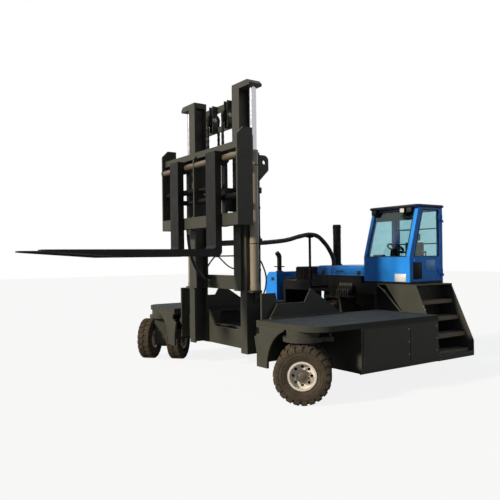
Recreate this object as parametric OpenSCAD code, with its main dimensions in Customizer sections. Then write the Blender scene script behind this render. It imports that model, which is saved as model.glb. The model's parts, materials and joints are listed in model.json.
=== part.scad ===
// Multidirectional side-loading forklift: U-shaped chassis, reach mast, three steered wheel sets.
// X points along the forks, Y to the operator's side, Z up. The ground is at z = 0.

/* [Chassis] */
// Front face of both chassis arms
arm_front_x = 445; // [430:1:470]
// Half of the open width between the arms
arm_inner_y = 1390; // [1380:1:1400]
// Half of the whole width over the arms
half_width = 2760; // [2720:1:2800]
// Height of the deck's top
deck_top = 1115; // [1105:1:1130]
// Depth of the deck's edge
deck_lip = 85; // [70:1:95]
// Radius of the deck's outer front corner
deck_corner_r = 400; // [300:5:450]
// Thickness of the front plate of an arm
front_plate_t = 40; // [25:1:50]
// Height of the underside of the chassis above the ground
ground_clearance = 345; // [300:5:380]
// Rear face of the counterweight
rear_x = -3600; // [-3640:5:-3560]
// Thickness of the counterweight slab
counterweight_t = 180; // [140:5:200]
// Front end of the side boxes behind the front wheels
side_box_front_x = -510; // [-560:5:-470]

/* [Guide rails] */
// Width of a guide rail across the truck
rail_w = 240; // [220:1:245]
// Wall thickness of a guide rail
rail_wall = 30; // [20:1:40]
// Height of the middle of the roller track
track_z = 850; // [845:1:855]
// Clear height of the roller track
track_h = 300; // [260:1:305]
// Rear end of the guide rails
rail_rear_x = -2000; // [-2040:5:-1980]

/* [Front wheels] */
// Radius of a front tyre over its lugs
front_tyre_r = 420; // [400:1:425]
// Width of a front tyre
front_tyre_w = 280; // [260:1:285]
// Distance from the leg's middle to the middle of each twin wheel
twin_offset = 318; // [312:1:320]
// Steering pivot, along the truck
front_pivot_x = 223; // [215:1:230]
// Steering pivot, from the truck's middle
front_pivot_y = 2271; // [2260:1:2280]
// Angle by which the front wheels are turned from straight ahead
front_steer_deg = 43; // [0:1:60]
// Seat radius of a front rim
front_rim_r = 195; // [185:1:205]
// Radius of the front axles
front_axle_r = 70; // [55:1:80]

/* [Rear wheel] */
// Radius of the rear tyre over its lugs
rear_tyre_r = 620; // [600:1:625]
// Width of the rear tyre
rear_tyre_w = 320; // [290:1:330]
// Steering pivot of the rear wheel, along the truck
rear_pivot_x = -2735; // [-2745:1:-2725]
// Seat radius of the rear rim
rear_rim_r = 315; // [300:1:330]
// Radius of the rear axle
rear_axle_r = 60; // [50:1:75]
// Thickness of each yoke cheek
yoke_cheek_t = 60; // [40:1:70]

/* [Rear body] */
// Underside of the rear bridge
bridge_z = 1400; // [1390:1:1420]
// Top of the rear bridge, where the cab stands
bridge_top = 1600; // [1580:1:1620]
// Front face of the rear bridge and rear end of the left side box
bridge_front_x = -2332; // [-2340:1:-2320]
// Height of the blue hood above the bridge box
hood_h = 195; // [150:5:220]
// Radius of the intake stack
stack_r = 83; // [70:1:90]
// Top of the intake stack
stack_top = 2790; // [2700:10:2850]
// Top of the engine cover
engine_cover_top = 1770; // [1700:10:1850]

/* [Cab] */
// Front face of the cab's lower panel
cab_front_x = -2388; // [-2400:1:-2380]
// Rear face of the cab
cab_rear_x = -3320; // [-3330:1:-3300]
// Inner side of the cab
cab_y0 = 1025; // [1010:1:1060]
// Door side of the cab
cab_y1 = 2121; // [2100:1:2140]
// Height of the roof's top above the floor's underside
cab_h = 1440; // [1400:5:1500]
// Height of the windows' lower edge above the floor's underside
cab_sill_h = 500; // [450:5:540]
// Distance by which the windscreen leans back
screen_lean = 278; // [200:2:320]
// Thickness of the cab's walls and door
cab_wall = 50; // [40:1:60]
// Thickness of the window glass
glass_t = 8; // [5:1:12]

/* [Steps] */
// Rise from tread to tread
step_rise = 285; // [275:1:295]
// Depth of each tread
tread_depth = 260; // [220:5:300]
// Thickness of treads and stringers
step_plate = 20; // [12:1:25]
// Outer edge of the stringers at the top
step_top_y = 2305; // [2280:5:2340]

/* [Outer mast] */
// Rear face of the outer mast's columns
mast_rear_x = 30; // [25:1:35]
// Depth of the outer columns along the truck
mast_depth = 296; // [290:1:300]
// Outer face of the outer columns from the middle
mast_half_w = 963; // [960:1:970]
// Thickness of the columns' flanges
flange_t = 30; // [24:1:32]
// Thickness of the columns' webs
web_t = 33; // [26:1:36]
// Width of the outer columns' flanges
outer_flange_w = 187; // [180:1:190]
// Lower end of the outer mast
mast_bottom = 500; // [480:5:520]
// Upper end of the outer mast
mast_top = 3890; // [3860:5:3892]

/* [Inner mast] */
// Lower end of the inner mast at rest
inner_bottom = 1550; // [1545:1:1580]
// Upper end of the inner columns at rest
inner_top = 4950; // [4945:1:5000]
// Width of the inner columns' flanges
inner_flange_w = 214; // [200:1:216]
// Radius of the lift rods
lift_rod_r = 60; // [50:1:62]
// Radius of the lift barrels
lift_barrel_r = 75; // [72:1:80]
// Radius of the chain sheaves at the chain's middle
sheave_r = 115; // [110:1:116]
// Half of the distance between the two chains
chain_y = 250; // [220:5:280]

/* [Fork carriage] */
// Half of the carriage's width
carriage_half_w = 1309; // [1290:1:1320]
// Lower edge of the carriage
carriage_bottom = 2640; // [2620:5:2660]
// Upper edge of the carriage's end plates
carriage_top = 4200; // [4150:5:4250]
// Radius of the hanger shaft
hanger_r = 57; // [50:1:60]
// Height of the hanger shaft
hanger_z = 3760; // [3750:1:3765]

/* [Forks] */
// Rear face of the forks' shanks
fork_back_x = 720; // [715:1:725]
// Tip of the forks
fork_tip_x = 3600; // [3300:10:3640]
// Width of a fork
fork_w = 300; // [240:5:310]
// Thickness of a fork
fork_t = 120; // [100:1:125]
// Height of the blades' tops
fork_top_z = 2260; // [2240:1:2280]
// Middle of the left fork
fork_left_y = 690; // [600:5:720]
// Middle of the right fork
fork_right_y = -590; // [-640:5:-540]

/* [Hidden] */
$fn = 48;

// Running clearance between curved faces and between sliding pieces
run_gap = 0.3;
// Gap round the door
door_gap = 5;
// Overshoot of a cut beyond the face it leaves
over = 10;

// Colours of the finished truck
charcoal = "#45453f";
dark_steel = "#2b2b28";
cab_blue = "#1f74cc";
rim_cream = "#e8dfca";
tyre_black = "#37312b";
chrome = "#c9ccd0";
glass_tint = "#8fb0bd";
rubber = "#1c1c1c";

// Heights that follow from the chassis
deck_under = deck_top - deck_lip;
rail_outer_y = arm_inner_y + rail_w;
right_body_rear_x = rear_x + counterweight_t;

// Box from ranges along X, Y and Z
module block(x, y, z) {
    translate([x[0], y[0], z[0]]) cube([x[1] - x[0], y[1] - y[0], z[1] - z[0]]);
}

// Outline in X and Z, spread between two places along Y
module side_profile(y) {
    translate([0, y[1], 0]) rotate([90, 0, 0]) linear_extrude(y[1] - y[0]) children();
}

// Outline in Y and Z, spread between two places along X
module front_profile(x) {
    translate([x[0], 0, 0]) rotate([90, 0, 90]) linear_extrude(x[1] - x[0]) children();
}

// Outline in X and Y, spread between two heights
module plan_profile(z) {
    translate([0, 0, z[0]]) linear_extrude(z[1] - z[0]) children();
}

// Round bar along Y
module bar_y(x, z, y, r) {
    translate([x, y[1], z]) rotate([90, 0, 0]) cylinder(h = y[1] - y[0], r = r);
}

// Round bar along X
module bar_x(y, z, x, r) {
    translate([x[0], y, z]) rotate([0, 90, 0]) cylinder(h = x[1] - x[0], r = r);
}

// Round bar along Z
module bar_z(x, y, z, r) {
    translate([x, y, z[0]]) cylinder(h = z[1] - z[0], r = r);
}

// The same piece on the left and mirrored on the right
module both_sides() {
    children();
    mirror([0, 1, 0]) children();
}

// Chassis

// Plan of one deck, with the round outer corner at the front
module deck_plan(deck_rear_x) {
    corner_x = arm_front_x - deck_corner_r;
    corner_y = half_width - deck_corner_r;
    translate([deck_rear_x, arm_inner_y]) square([corner_x - deck_rear_x, half_width - arm_inner_y]);
    translate([deck_rear_x, arm_inner_y]) square([arm_front_x - deck_rear_x, corner_y - arm_inner_y]);
    translate([corner_x, corner_y]) circle(r = deck_corner_r);
}

module decks() {
    color(charcoal) {
        plan_profile([deck_under, deck_top]) deck_plan(bridge_front_x);
        mirror([0, 1, 0]) plan_profile([deck_under, deck_top]) deck_plan(right_body_rear_x);
    }
}

// Radius of the wheel arch cut in the front plate, the foot of the plate's tip, and where its edge ends
arch_r = front_tyre_r + 192;
front_plate_foot = ground_clearance + 40;
front_plate_end_y = front_pivot_y - 185;
// Cheek on the plate's inner edge: width and heights, and the notch over it at the end of the roller track
cheek_w = 60;
cheek_z = [590, 860];
track_notch_w = 72;
track_notch_top = 1005;

module front_plates() {
    color(charcoal) both_sides() front_profile([arm_front_x - front_plate_t, arm_front_x]) difference() {
        union() {
            translate([arm_inner_y, front_plate_foot])
                square([front_plate_end_y - arm_inner_y, deck_under - front_plate_foot]);
            polygon([[arm_inner_y, cheek_z[0]], [arm_inner_y + cheek_w, cheek_z[0]],
                [arm_inner_y + cheek_w, cheek_z[1]], [arm_inner_y - cheek_w, cheek_z[1]]]);
        }
        translate([front_pivot_y, front_tyre_r]) circle(r = arch_r);
        translate([arm_inner_y - over, cheek_z[1] + front_plate_t])
            square([track_notch_w + over, track_notch_top - cheek_z[1] - front_plate_t]);
    }
}

// Lower edge of the guide rail's wall
rail_bottom = 480;

module guide_rails() {
    track_lo = track_z - track_h / 2;
    track_hi = track_z + track_h / 2;
    rail_x = [rail_rear_x, arm_front_x - front_plate_t];
    color(charcoal) both_sides() front_profile(rail_x) {
        translate([rail_outer_y - rail_wall, rail_bottom]) square([rail_wall, deck_under - rail_bottom]);
        translate([arm_inner_y, track_hi]) square([rail_w - rail_wall, deck_under - track_hi]);
        translate([arm_inner_y, track_lo - rail_wall]) square([rail_w - rail_wall, rail_wall]);
    }
}

// Thickness of the bolted cover panels on a side box, and the gap between them
panel_t = 12;
panel_gap = 14;
panel_margin = 45;

// Box under a deck: rear end along X, with two bolted panels on its outer face
module side_box(box_rear_x) {
    face_y = half_width - panel_t;
    seam_x = (side_box_front_x * 2 + box_rear_x * 3) / 5;
    panel_z = [ground_clearance + panel_margin, deck_under - panel_margin];
    block([box_rear_x, side_box_front_x], [rail_outer_y, face_y], [ground_clearance, deck_under]);
    block([seam_x + panel_gap / 2, side_box_front_x - panel_margin], [face_y, half_width], panel_z);
    block([box_rear_x + panel_margin, seam_x - panel_gap / 2], [face_y, half_width], panel_z);
    block([box_rear_x, side_box_front_x + panel_margin], [face_y, half_width],
        [ground_clearance, ground_clearance + panel_t]);
}

module side_box_left() {
    color(charcoal) side_box(bridge_front_x);
}

module side_box_right() {
    color(charcoal) mirror([0, 1, 0]) side_box(right_body_rear_x);
}

// Side outline of the guard beside the mast: distance along X and height above the deck
guard_outline = [[210, 0], [40, 245], [-530, 240], [-670, 465], [-1400, 0]];
guard_t = 20;
guard_y = arm_inner_y + 20;
guard_flange_w = 70;

module guard_plates() {
    guard_front = guard_outline[0].x;
    guard_rear = guard_outline[len(guard_outline) - 1].x;
    color(charcoal) both_sides() {
        side_profile([guard_y, guard_y + guard_t]) translate([0, deck_top]) polygon(guard_outline);
        block([guard_rear, guard_front], [guard_y, guard_y + guard_flange_w], [deck_top, deck_top + guard_t]);
    }
}

// Raised box in the middle of the bridge that carries the hood
bridge_box_y = [-390, 1000];
bridge_box_top = 1735;
bridge_wall = 60;

module rear_bridge() {
    bridge_x = [right_body_rear_x, bridge_front_x];
    color(charcoal) {
        front_profile(bridge_x) difference() {
            translate([-arm_inner_y, ground_clearance])
                square([2 * arm_inner_y, bridge_top - ground_clearance]);
            translate([bridge_wall - arm_inner_y, ground_clearance - over])
                square([2 * (arm_inner_y - bridge_wall), bridge_z - ground_clearance + over]);
        }
        block(bridge_x, bridge_box_y, [bridge_top, bridge_box_top]);
    }
}

// Towing slot in the counterweight and the pin hole through it
tow_pin_r = 26;
tow_slot_d = 120;
tow_slot_z = [600, 680];

// Wall on the counterweight that closes the bay behind the rear wheel: its thickness and right end
rear_wall_t = 60;
rear_wall_y0 = 140 - arm_inner_y;

module counterweight() {
    color(charcoal) difference() {
        union() {
            block([rear_x, right_body_rear_x], [-arm_inner_y, arm_inner_y], [ground_clearance, deck_top]);
            block([right_body_rear_x - rear_wall_t, right_body_rear_x], [rear_wall_y0, arm_inner_y],
                [deck_top, bridge_z]);
        }
        block([rear_x - over, rear_x + tow_slot_d], [-tow_slot_d, tow_slot_d], tow_slot_z);
        bar_z(rear_x + tow_slot_d / 2, 0, [ground_clearance - over, deck_top + over], tow_pin_r);
    }
}

// Steps up to the cab

// Inner edge of the steps, lower end of the stringers and lower end of their slope
step_inner_y = 1991;
step_foot = 335;
step_slope_z = 600;
step_low_y = half_width - 15;
step_rear_x = cab_rear_x - 15;
tread_count = 4;
// Setback of the treads' noses behind the stringers, height of the noses, and of the skirt under them
tread_inset = 95;
tread_nose_h = 70;
skirt_h = 85;
// Inner corner of the stringers under the cab
stringer_top_y = arm_inner_y + 200;

// Outer edge of the stringers at a height
function step_edge_y(z) =
    step_low_y - (max(z, step_slope_z) - step_slope_z) * (step_low_y - step_top_y)
        / (bridge_top - step_slope_z - 2 * step_plate);

module stringer_outline() {
    polygon([[stringer_top_y, bridge_top], [step_top_y, bridge_top],
        [step_top_y, bridge_top - 2 * step_plate], [step_low_y, step_slope_z], [step_low_y, step_foot],
        [step_inner_y, step_foot], [step_inner_y, deck_top]]);
}

// Tread with a turned-down nose, at the height of its top
module tread_outline(z) {
    nose_y = step_edge_y(z) - tread_inset;
    translate([nose_y - tread_depth, z - step_plate]) square([tread_depth, step_plate]);
    translate([nose_y - step_plate, z - tread_nose_h]) square([step_plate, tread_nose_h]);
}

// Closed riser between the uppermost tread and the platform
module riser_outline(z) {
    riser_y = step_edge_y(z) - tread_inset - tread_depth;
    translate([riser_y, z - step_plate]) square([step_plate, bridge_top - z]);
}

module steps() {
    inside_x = [step_rear_x + step_plate, bridge_front_x - step_plate];
    color(charcoal) {
        for (x = [step_rear_x, bridge_front_x - step_plate])
            front_profile([x, x + step_plate]) stringer_outline();
        block(inside_x, [arm_inner_y, step_top_y], [bridge_top - step_plate, bridge_top]);
        block(inside_x, [step_inner_y, step_inner_y + step_plate], [step_foot, bridge_top - step_plate]);
        block(inside_x, [step_low_y - step_plate, step_low_y], [step_foot, step_foot + skirt_h]);
        front_profile(inside_x) {
            for (i = [1:tread_count]) tread_outline(bridge_top - i * step_rise);
            riser_outline(bridge_top - step_rise);
        }
    }
}

// Cab

// Heights in the cab
cab_top = bridge_top + cab_h;
cab_floor_t = 40;
cab_roof_t = 50;
floor_top = bridge_top + cab_floor_t;
roof_under = cab_top - cab_roof_t;
sill_z = bridge_top + cab_sill_h;
// Width of the posts beside the windows, and of the rails over them
post_w = 70;
head_w = 45;
window_top = roof_under - head_w;
roof_overhang = 25;
roof_visor = 85;
roof_corner_r = 70;

// X of the front wall's outer face at a height
function screen_x(z) = cab_front_x - max(0, z - sill_z) * screen_lean / (cab_top - sill_z);

// Side outline of the space between the front wall and the rear wall, drawn in by a gap
module cab_side_outline(gap) {
    rear = cab_rear_x + cab_wall + gap;
    front = cab_front_x - cab_wall - gap;
    top = roof_under - gap;
    polygon([[rear, floor_top + gap], [front, floor_top + gap], [front, sill_z],
        [screen_x(top) - cab_wall - gap, top], [rear, top]]);
}

// Side outline of a side window
module side_window_outline() {
    rear = cab_rear_x + cab_wall + post_w;
    front_inset = cab_wall + post_w;
    polygon([[rear, sill_z], [screen_x(sill_z) - front_inset, sill_z],
        [screen_x(window_top) - front_inset, window_top], [rear, window_top]]);
}

// Front outline of the windscreen and of the rear window
module end_window_outline() {
    translate([cab_y0 + cab_wall + post_w / 2, sill_z])
        square([cab_y1 - cab_y0 - 2 * cab_wall - post_w, window_top - sill_z]);
}

// Strip that follows the front of the cab, set back and with a given thickness
module screen_strip(set_back, thickness) {
    x0 = cab_front_x - set_back;
    top_x = screen_x(roof_under) - set_back;
    polygon([[x0, floor_top], [x0, sill_z], [top_x, roof_under], [top_x - thickness, roof_under],
        [x0 - thickness, sill_z], [x0 - thickness, floor_top]]);
}

module cab_floor() {
    color(dark_steel) block([cab_rear_x, cab_front_x], [cab_y0, cab_y1], [bridge_top, floor_top]);
}

module cab_front() {
    color(cab_blue) difference() {
        side_profile([cab_y0, cab_y1]) screen_strip(0, cab_wall);
        front_profile([screen_x(cab_top) - 2 * cab_wall, cab_front_x + over]) end_window_outline();
    }
}

// Door hinges: pin radius, knuckle radius, and the heights of the knuckles' middles
hinge_pin_r = 9;
hinge_knuckle_r = 18;
hinge_knuckle_h = 90;
hinge_z = [floor_top + 180, roof_under - 180];
hinge_x = cab_rear_x + cab_wall;
hinge_y = cab_y1 + hinge_knuckle_r + 2;
hinge_leaf_t = 14;

module cab_rear() {
    color(cab_blue) {
        difference() {
            block([cab_rear_x, cab_rear_x + cab_wall], [cab_y0, cab_y1], [floor_top, roof_under]);
            front_profile([cab_rear_x - over, cab_rear_x + cab_wall + over]) end_window_outline();
        }
        for (z = hinge_z) {
            bar_z(hinge_x, hinge_y, [z - hinge_knuckle_h, z + hinge_knuckle_h / 2], hinge_pin_r);
            bar_z(hinge_x, hinge_y, [z - hinge_knuckle_h, z - hinge_knuckle_h / 2 - run_gap],
                hinge_knuckle_r);
            block([cab_rear_x, hinge_x - hinge_knuckle_r / 2], [cab_y1, hinge_y + hinge_leaf_t / 2],
                [z - hinge_knuckle_h, z - hinge_knuckle_h / 2 - run_gap]);
        }
    }
}

module cab_side() {
    color(cab_blue) side_profile([cab_y0, cab_y0 + cab_wall]) difference() {
        cab_side_outline(0);
        side_window_outline();
    }
}

module cab_roof() {
    x = [cab_rear_x - roof_overhang, screen_x(cab_top) + roof_visor];
    y = [cab_y0 - roof_overhang, cab_y1 + roof_overhang];
    r = roof_corner_r;
    color(cab_blue) plan_profile([roof_under, cab_top]) {
        translate([x[0] + r, y[0]]) square([x[1] - x[0] - 2 * r, y[1] - y[0]]);
        translate([x[0], y[0] + r]) square([x[1] - x[0], y[1] - y[0] - 2 * r]);
        for (cx = [x[0] + r, x[1] - r], cy = [y[0] + r, y[1] - r]) translate([cx, cy]) circle(r = r);
    }
}

// Distance of the glass behind the outer face of its wall
glass_set = 14;

module cab_glass() {
    color(glass_tint) {
        intersection() {
            side_profile([cab_y0, cab_y1]) screen_strip(glass_set, glass_t);
            front_profile([screen_x(cab_top) - 2 * cab_wall, cab_front_x + over]) end_window_outline();
        }
        front_profile([cab_rear_x + glass_set, cab_rear_x + glass_set + glass_t]) end_window_outline();
        side_profile([cab_y0 + glass_set, cab_y0 + glass_set + glass_t]) side_window_outline();
    }
}

// Handle on the door's outer face
handle_z = sill_z - 90;
handle_l = 160;
handle_d = 30;

module cab_door() {
    front = cab_front_x - cab_wall - door_gap - post_w / 2;
    color(cab_blue) difference() {
        union() {
            side_profile([cab_y1 - cab_wall, cab_y1]) difference() {
                cab_side_outline(door_gap);
                side_window_outline();
            }
            for (z = hinge_z) {
                bar_z(hinge_x, hinge_y, [z - hinge_knuckle_h / 2, z + hinge_knuckle_h / 2], hinge_knuckle_r);
                block([hinge_x + hinge_knuckle_r / 2, hinge_x + hinge_knuckle_h], [cab_y1, hinge_y],
                    [z - hinge_knuckle_h / 2, z + hinge_knuckle_h / 2]);
            }
            block([front - handle_l, front], [cab_y1, cab_y1 + handle_d], [handle_z, handle_z + handle_d]);
        }
        for (z = hinge_z)
            bar_z(hinge_x, hinge_y, [z - hinge_knuckle_h, z + hinge_knuckle_h], hinge_pin_r + run_gap);
    }
}

module door_glass() {
    color(glass_tint) side_profile([cab_y1 - glass_set - glass_t, cab_y1 - glass_set]) side_window_outline();
}

// Operator's seat: middle of the cab and sizes of pedestal, cushion and back
seat_x = cab_rear_x + 330;
seat_y = (cab_y0 + cab_y1) / 2;
seat_w = 480;
seat_base_l = 300;
seat_base_h = 300;
seat_cushion_x = [seat_x - 230, seat_x + 200];
seat_cushion_t = 130;
seat_back_h = 620;
seat_back_t = 110;
seat_back_lean = 40;

module seat() {
    cushion_z = floor_top + seat_base_h;
    back_x = seat_cushion_x[0];
    back_top = cushion_z + seat_back_h;
    color(dark_steel) {
        block([seat_x - seat_base_l / 2, seat_x + seat_base_l / 2],
            [seat_y - seat_w / 3, seat_y + seat_w / 3], [floor_top, cushion_z]);
        block(seat_cushion_x, [seat_y - seat_w / 2, seat_y + seat_w / 2],
            [cushion_z, cushion_z + seat_cushion_t]);
        side_profile([seat_y - seat_w / 2, seat_y + seat_w / 2])
            polygon([[back_x, cushion_z], [back_x + seat_back_t, cushion_z],
                [back_x + seat_back_t - seat_back_lean, back_top], [back_x - seat_back_lean, back_top]]);
    }
}

// Steering console: column and wheel
console_x = seat_x + 390;
console_w = 120;
console_l = 90;
console_lean = 80;
console_h = 620;
wheel_r = 150;
wheel_tube_r = 16;
wheel_hub_r = 45;
wheel_hub_h = 75;
wheel_tilt_deg = 28;

module console() {
    wheel_at = [console_x - console_lean + console_l / 4, seat_y, floor_top + console_h];
    color(dark_steel) {
        side_profile([seat_y - console_w / 2, seat_y + console_w / 2])
            polygon([[console_x, floor_top], [console_x + console_l, floor_top],
                [console_x + console_l - console_lean, floor_top + console_h - wheel_hub_r],
                [console_x - console_lean, floor_top + console_h - wheel_hub_h]]);
        translate(wheel_at) rotate([0, -wheel_tilt_deg, 0]) {
            rotate_extrude() translate([wheel_r, 0]) circle(r = wheel_tube_r);
            for (a = [0, 120, 240])
                rotate([0, 0, a]) translate([0, -wheel_tube_r, -wheel_tube_r / 2])
                    cube([wheel_r, 2 * wheel_tube_r, wheel_tube_r]);
            translate([0, 0, wheel_tube_r - wheel_hub_h]) cylinder(h = wheel_hub_h, r = wheel_hub_r);
        }
    }
}

// Rear body

hood_x = [rear_x + 100, bridge_front_x - 120];
// Radius of the hood's upper edges
hood_edge_r = 60;

// Hood outline over a range, with both upper corners round
module hood_outline(range) {
    top = bridge_box_top + hood_h;
    translate([range[0], bridge_box_top]) square([range[1] - range[0], hood_h - hood_edge_r]);
    translate([range[0] + hood_edge_r, bridge_box_top])
        square([range[1] - range[0] - 2 * hood_edge_r, hood_h]);
    for (at = [range[0] + hood_edge_r, range[1] - hood_edge_r])
        translate([at, top - hood_edge_r]) circle(r = hood_edge_r);
}

module hood() {
    color(cab_blue) intersection() {
        side_profile(bridge_box_y) hood_outline(hood_x);
        front_profile(hood_x) hood_outline(bridge_box_y);
    }
}

// Engine cover at the right rear: outer ranges, wall and corner bevel
engine_x = [rear_x + 190, bridge_front_x - 120];
engine_y = [530 - half_width, -arm_inner_y - 410];
engine_wall = 25;
engine_bevel = 140;

// Front outline of the engine cover, drawn in by a margin
module engine_outline(margin) {
    y0 = engine_y[0] + margin;
    y1 = engine_y[1] - margin;
    top = engine_cover_top - margin;
    polygon([[y0, deck_top], [y1, deck_top], [y1, top], [y0 + engine_bevel, top], [y0, top - engine_bevel]]);
}

// Cooling slots in the cover's outer side
slot_count = 6;
slot_h = 28;
slot_pitch = 62;
slot_l = 640;
slot_z0 = deck_top + 90;

module engine_cover() {
    slot_x = (engine_x[0] + engine_x[1] - slot_l) / 2;
    color(cab_blue) difference() {
        front_profile(engine_x) engine_outline(0);
        front_profile([engine_x[0] + engine_wall, engine_x[1] - engine_wall])
            translate([0, -over]) engine_outline(engine_wall);
        block([engine_x[0] + engine_wall, engine_x[1] - engine_wall],
            [engine_y[0] + engine_wall, engine_y[1] - engine_wall], [deck_top - over, deck_top + over]);
        for (i = [0:slot_count - 1])
            block([slot_x, slot_x + slot_l], [engine_y[0] - over, engine_y[0] + engine_wall + over],
                [slot_z0 + i * slot_pitch, slot_z0 + i * slot_pitch + slot_h]);
    }
}

// Engine between its cover and the bridge: setback behind the cover's front, head, sump and ribs
engine_set = 130;
engine_gap = 15;
engine_h = 520;
engine_head_h = 130;
engine_rib_count = 7;
engine_rib_d = 30;

module engine_block() {
    block_x = [engine_x[0] + engine_set, engine_x[1] - engine_set];
    block_y = [engine_y[1] + engine_gap, -arm_inner_y - engine_gap];
    mid_y = (block_y[0] + block_y[1]) / 2;
    half_w = (block_y[1] - block_y[0]) / 2;
    rib_pitch = (block_x[1] - block_x[0]) / engine_rib_count;
    top = deck_top + engine_h;
    color(dark_steel) {
        front_profile(block_x) translate([mid_y, 0]) polygon([[-half_w / 2, deck_top], [half_w / 2, deck_top],
            [half_w - engine_rib_d, deck_top + engine_head_h], [half_w - engine_rib_d, top - engine_head_h],
            [half_w / 2, top], [-half_w / 2, top], [engine_rib_d - half_w, top - engine_head_h],
            [engine_rib_d - half_w, deck_top + engine_head_h]]);
        for (i = [0:engine_rib_count - 1])
            block([block_x[0] + i * rib_pitch, block_x[0] + (i + 0.3) * rib_pitch], block_y,
                [deck_top + engine_head_h, top - engine_head_h]);
    }
}

// Cooler beside the hood: ranges, and the fins on its front
cooler_y = [-1100, bridge_box_y[0] - 10];
cooler_h = 300;
cooler_fins = 14;
cooler_fin_d = 20;

module radiator() {
    cooler_x = [hood_x[0], hood_x[1] - cooler_fin_d];
    pitch = (cooler_y[1] - cooler_y[0]) / cooler_fins;
    color(dark_steel) {
        block(cooler_x, cooler_y, [bridge_top, bridge_top + cooler_h]);
        for (i = [0:cooler_fins - 1])
            block([cooler_x[1], cooler_x[1] + cooler_fin_d],
                [cooler_y[0] + i * pitch, cooler_y[0] + (i + 0.4) * pitch],
                [bridge_top + cooler_fin_d, bridge_top + cooler_h - cooler_fin_d]);
    }
}

// Exhaust on the engine cover: place, radius of pipe and elbow, height and angle of the bend, outlet, collars
exhaust_at = [engine_x[1] - 198, (engine_y[0] + engine_y[1]) / 2 + 70];
exhaust_r = 54;
exhaust_elbow_r = exhaust_r + 4;
exhaust_h = 330;
exhaust_bend_r = 110;
exhaust_bend_deg = 45;
exhaust_outlet = 60;
exhaust_foot_r = 85;
exhaust_collar_r = 125;
exhaust_flange_t = 22;

module exhaust_pipe() {
    bend_z = engine_cover_top + exhaust_h;
    outlet_at = [exhaust_bend_r * (1 - cos(exhaust_bend_deg)), 0,
        bend_z + exhaust_bend_r * sin(exhaust_bend_deg)];
    color(dark_steel) translate([exhaust_at.x, exhaust_at.y, 0]) {
        translate([0, 0, engine_cover_top]) cylinder(h = exhaust_h, r = exhaust_r);
        translate([0, 0, engine_cover_top]) cylinder(h = exhaust_flange_t, r = exhaust_foot_r);
        translate([0, 0, engine_cover_top + exhaust_h / 3])
            cylinder(h = exhaust_flange_t, r = exhaust_collar_r);
        translate([exhaust_bend_r, 0, bend_z]) rotate([90, 0, 0]) rotate([0, 0, 180 - exhaust_bend_deg])
            rotate_extrude(angle = exhaust_bend_deg)
                translate([exhaust_bend_r, 0]) circle(r = exhaust_elbow_r);
        translate(outlet_at) rotate([0, exhaust_bend_deg, 0]) cylinder(h = exhaust_outlet, r = exhaust_r);
    }
}

stack_at = [-2835, -180];
stack_collar = 24;

module intake_stack() {
    foot = bridge_box_top + hood_h;
    color(dark_steel) {
        bar_z(stack_at.x, stack_at.y, [foot, stack_top], stack_r);
        bar_z(stack_at.x, stack_at.y, [foot, foot + stack_collar], stack_r + stack_collar);
        bar_z(stack_at.x, stack_at.y, [stack_top - 3 * stack_collar, stack_top - 2 * stack_collar],
            stack_r + stack_collar / 3);
    }
}

// Post that holds up the hose bundle: place, radius, foot, and the saddle under the hose
post_x = -1910;
post_r = 25;
post_foot_z = 1480;
post_hose_z = 2562;
saddle_half_l = 62;
saddle_wall = 14;
saddle_gap = 6.5;

module hose_post() {
    saddle_r = mast_hose_r + saddle_gap;
    color(dark_steel) {
        block([bridge_front_x, post_x], [-post_r, post_r], [post_foot_z, post_foot_z + 2 * post_r]);
        bar_z(post_x, 0, [post_foot_z, post_hose_z - saddle_r - saddle_wall / 2], post_r);
        front_profile([post_x - saddle_half_l, post_x + saddle_half_l])
            translate([0, post_hose_z]) difference() {
                circle(r = saddle_r + saddle_wall);
                circle(r = saddle_r);
                translate([-2 * saddle_r, 0]) square(4 * saddle_r);
            }
    }
}

// Work lamps under the roof's front edge: Y of each lamp
lamp_ys = [1130, 1810, 1970];
lamp_w = 120;
lamp_h = 95;
lamp_d = 60;
lamp_rim = 10;
lens_set = 14;

module lamps() {
    lamp_x = screen_x(roof_under - lamp_h);
    lens_z = [roof_under - lamp_h + lamp_rim, roof_under - lamp_rim];
    color(dark_steel) for (y = lamp_ys) difference() {
        block([lamp_x + 2, lamp_x + lamp_d], [y - lamp_w / 2, y + lamp_w / 2],
            [roof_under - lamp_h, roof_under]);
        block([lamp_x + lamp_d - lens_set, lamp_x + lamp_d + over],
            [y + lamp_rim - lamp_w / 2, y - lamp_rim + lamp_w / 2], lens_z);
    }
}

// Wheels

// Half section of a tyre: share of the wall's height above the seat, share of the half width
tyre_section = [[0, 0.80], [0.10, 0.80], [0.26, 0.97], [0.50, 1], [0.80, 0.97], [0.94, 0.90], [1, 0.78]];

// Gaps between the shoulder lugs: number round each side, depth, length round the tyre, inner end as a share
lug_count = 24;
lug_gap_d = 26;
lug_gap_l = 30;
lug_gap_from = 0.56;

// Tyre round the Y axis
module tyre(r, w, seat_r) {
    seat = seat_r + run_gap;
    right = [for (p = tyre_section) [seat + p[0] * (r - seat), p[1] * w / 2]];
    left = [for (i = [len(right) - 1:-1:0]) [right[i].x, -right[i].y]];
    rotate([90, 0, 0]) difference() {
        rotate_extrude() polygon(concat(right, left));
        for (i = [0:lug_count - 1], side = [0, 1]) rotate([180 * side, 0, (i + side / 2) * 360 / lug_count])
            translate([r - lug_gap_d, -lug_gap_l / 2, lug_gap_from * w / 2])
                cube([lug_gap_d + over, lug_gap_l, w / 2]);
    }
}

// Rim sizes: wall of the barrel, flange beside the tyre's bead, disc, and the ring of holes
rim_wall = 16;
rim_flange_h = 14;
rim_flange_t = 11;
rim_disc_t = 24;
rim_hole_count = 8;

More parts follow.
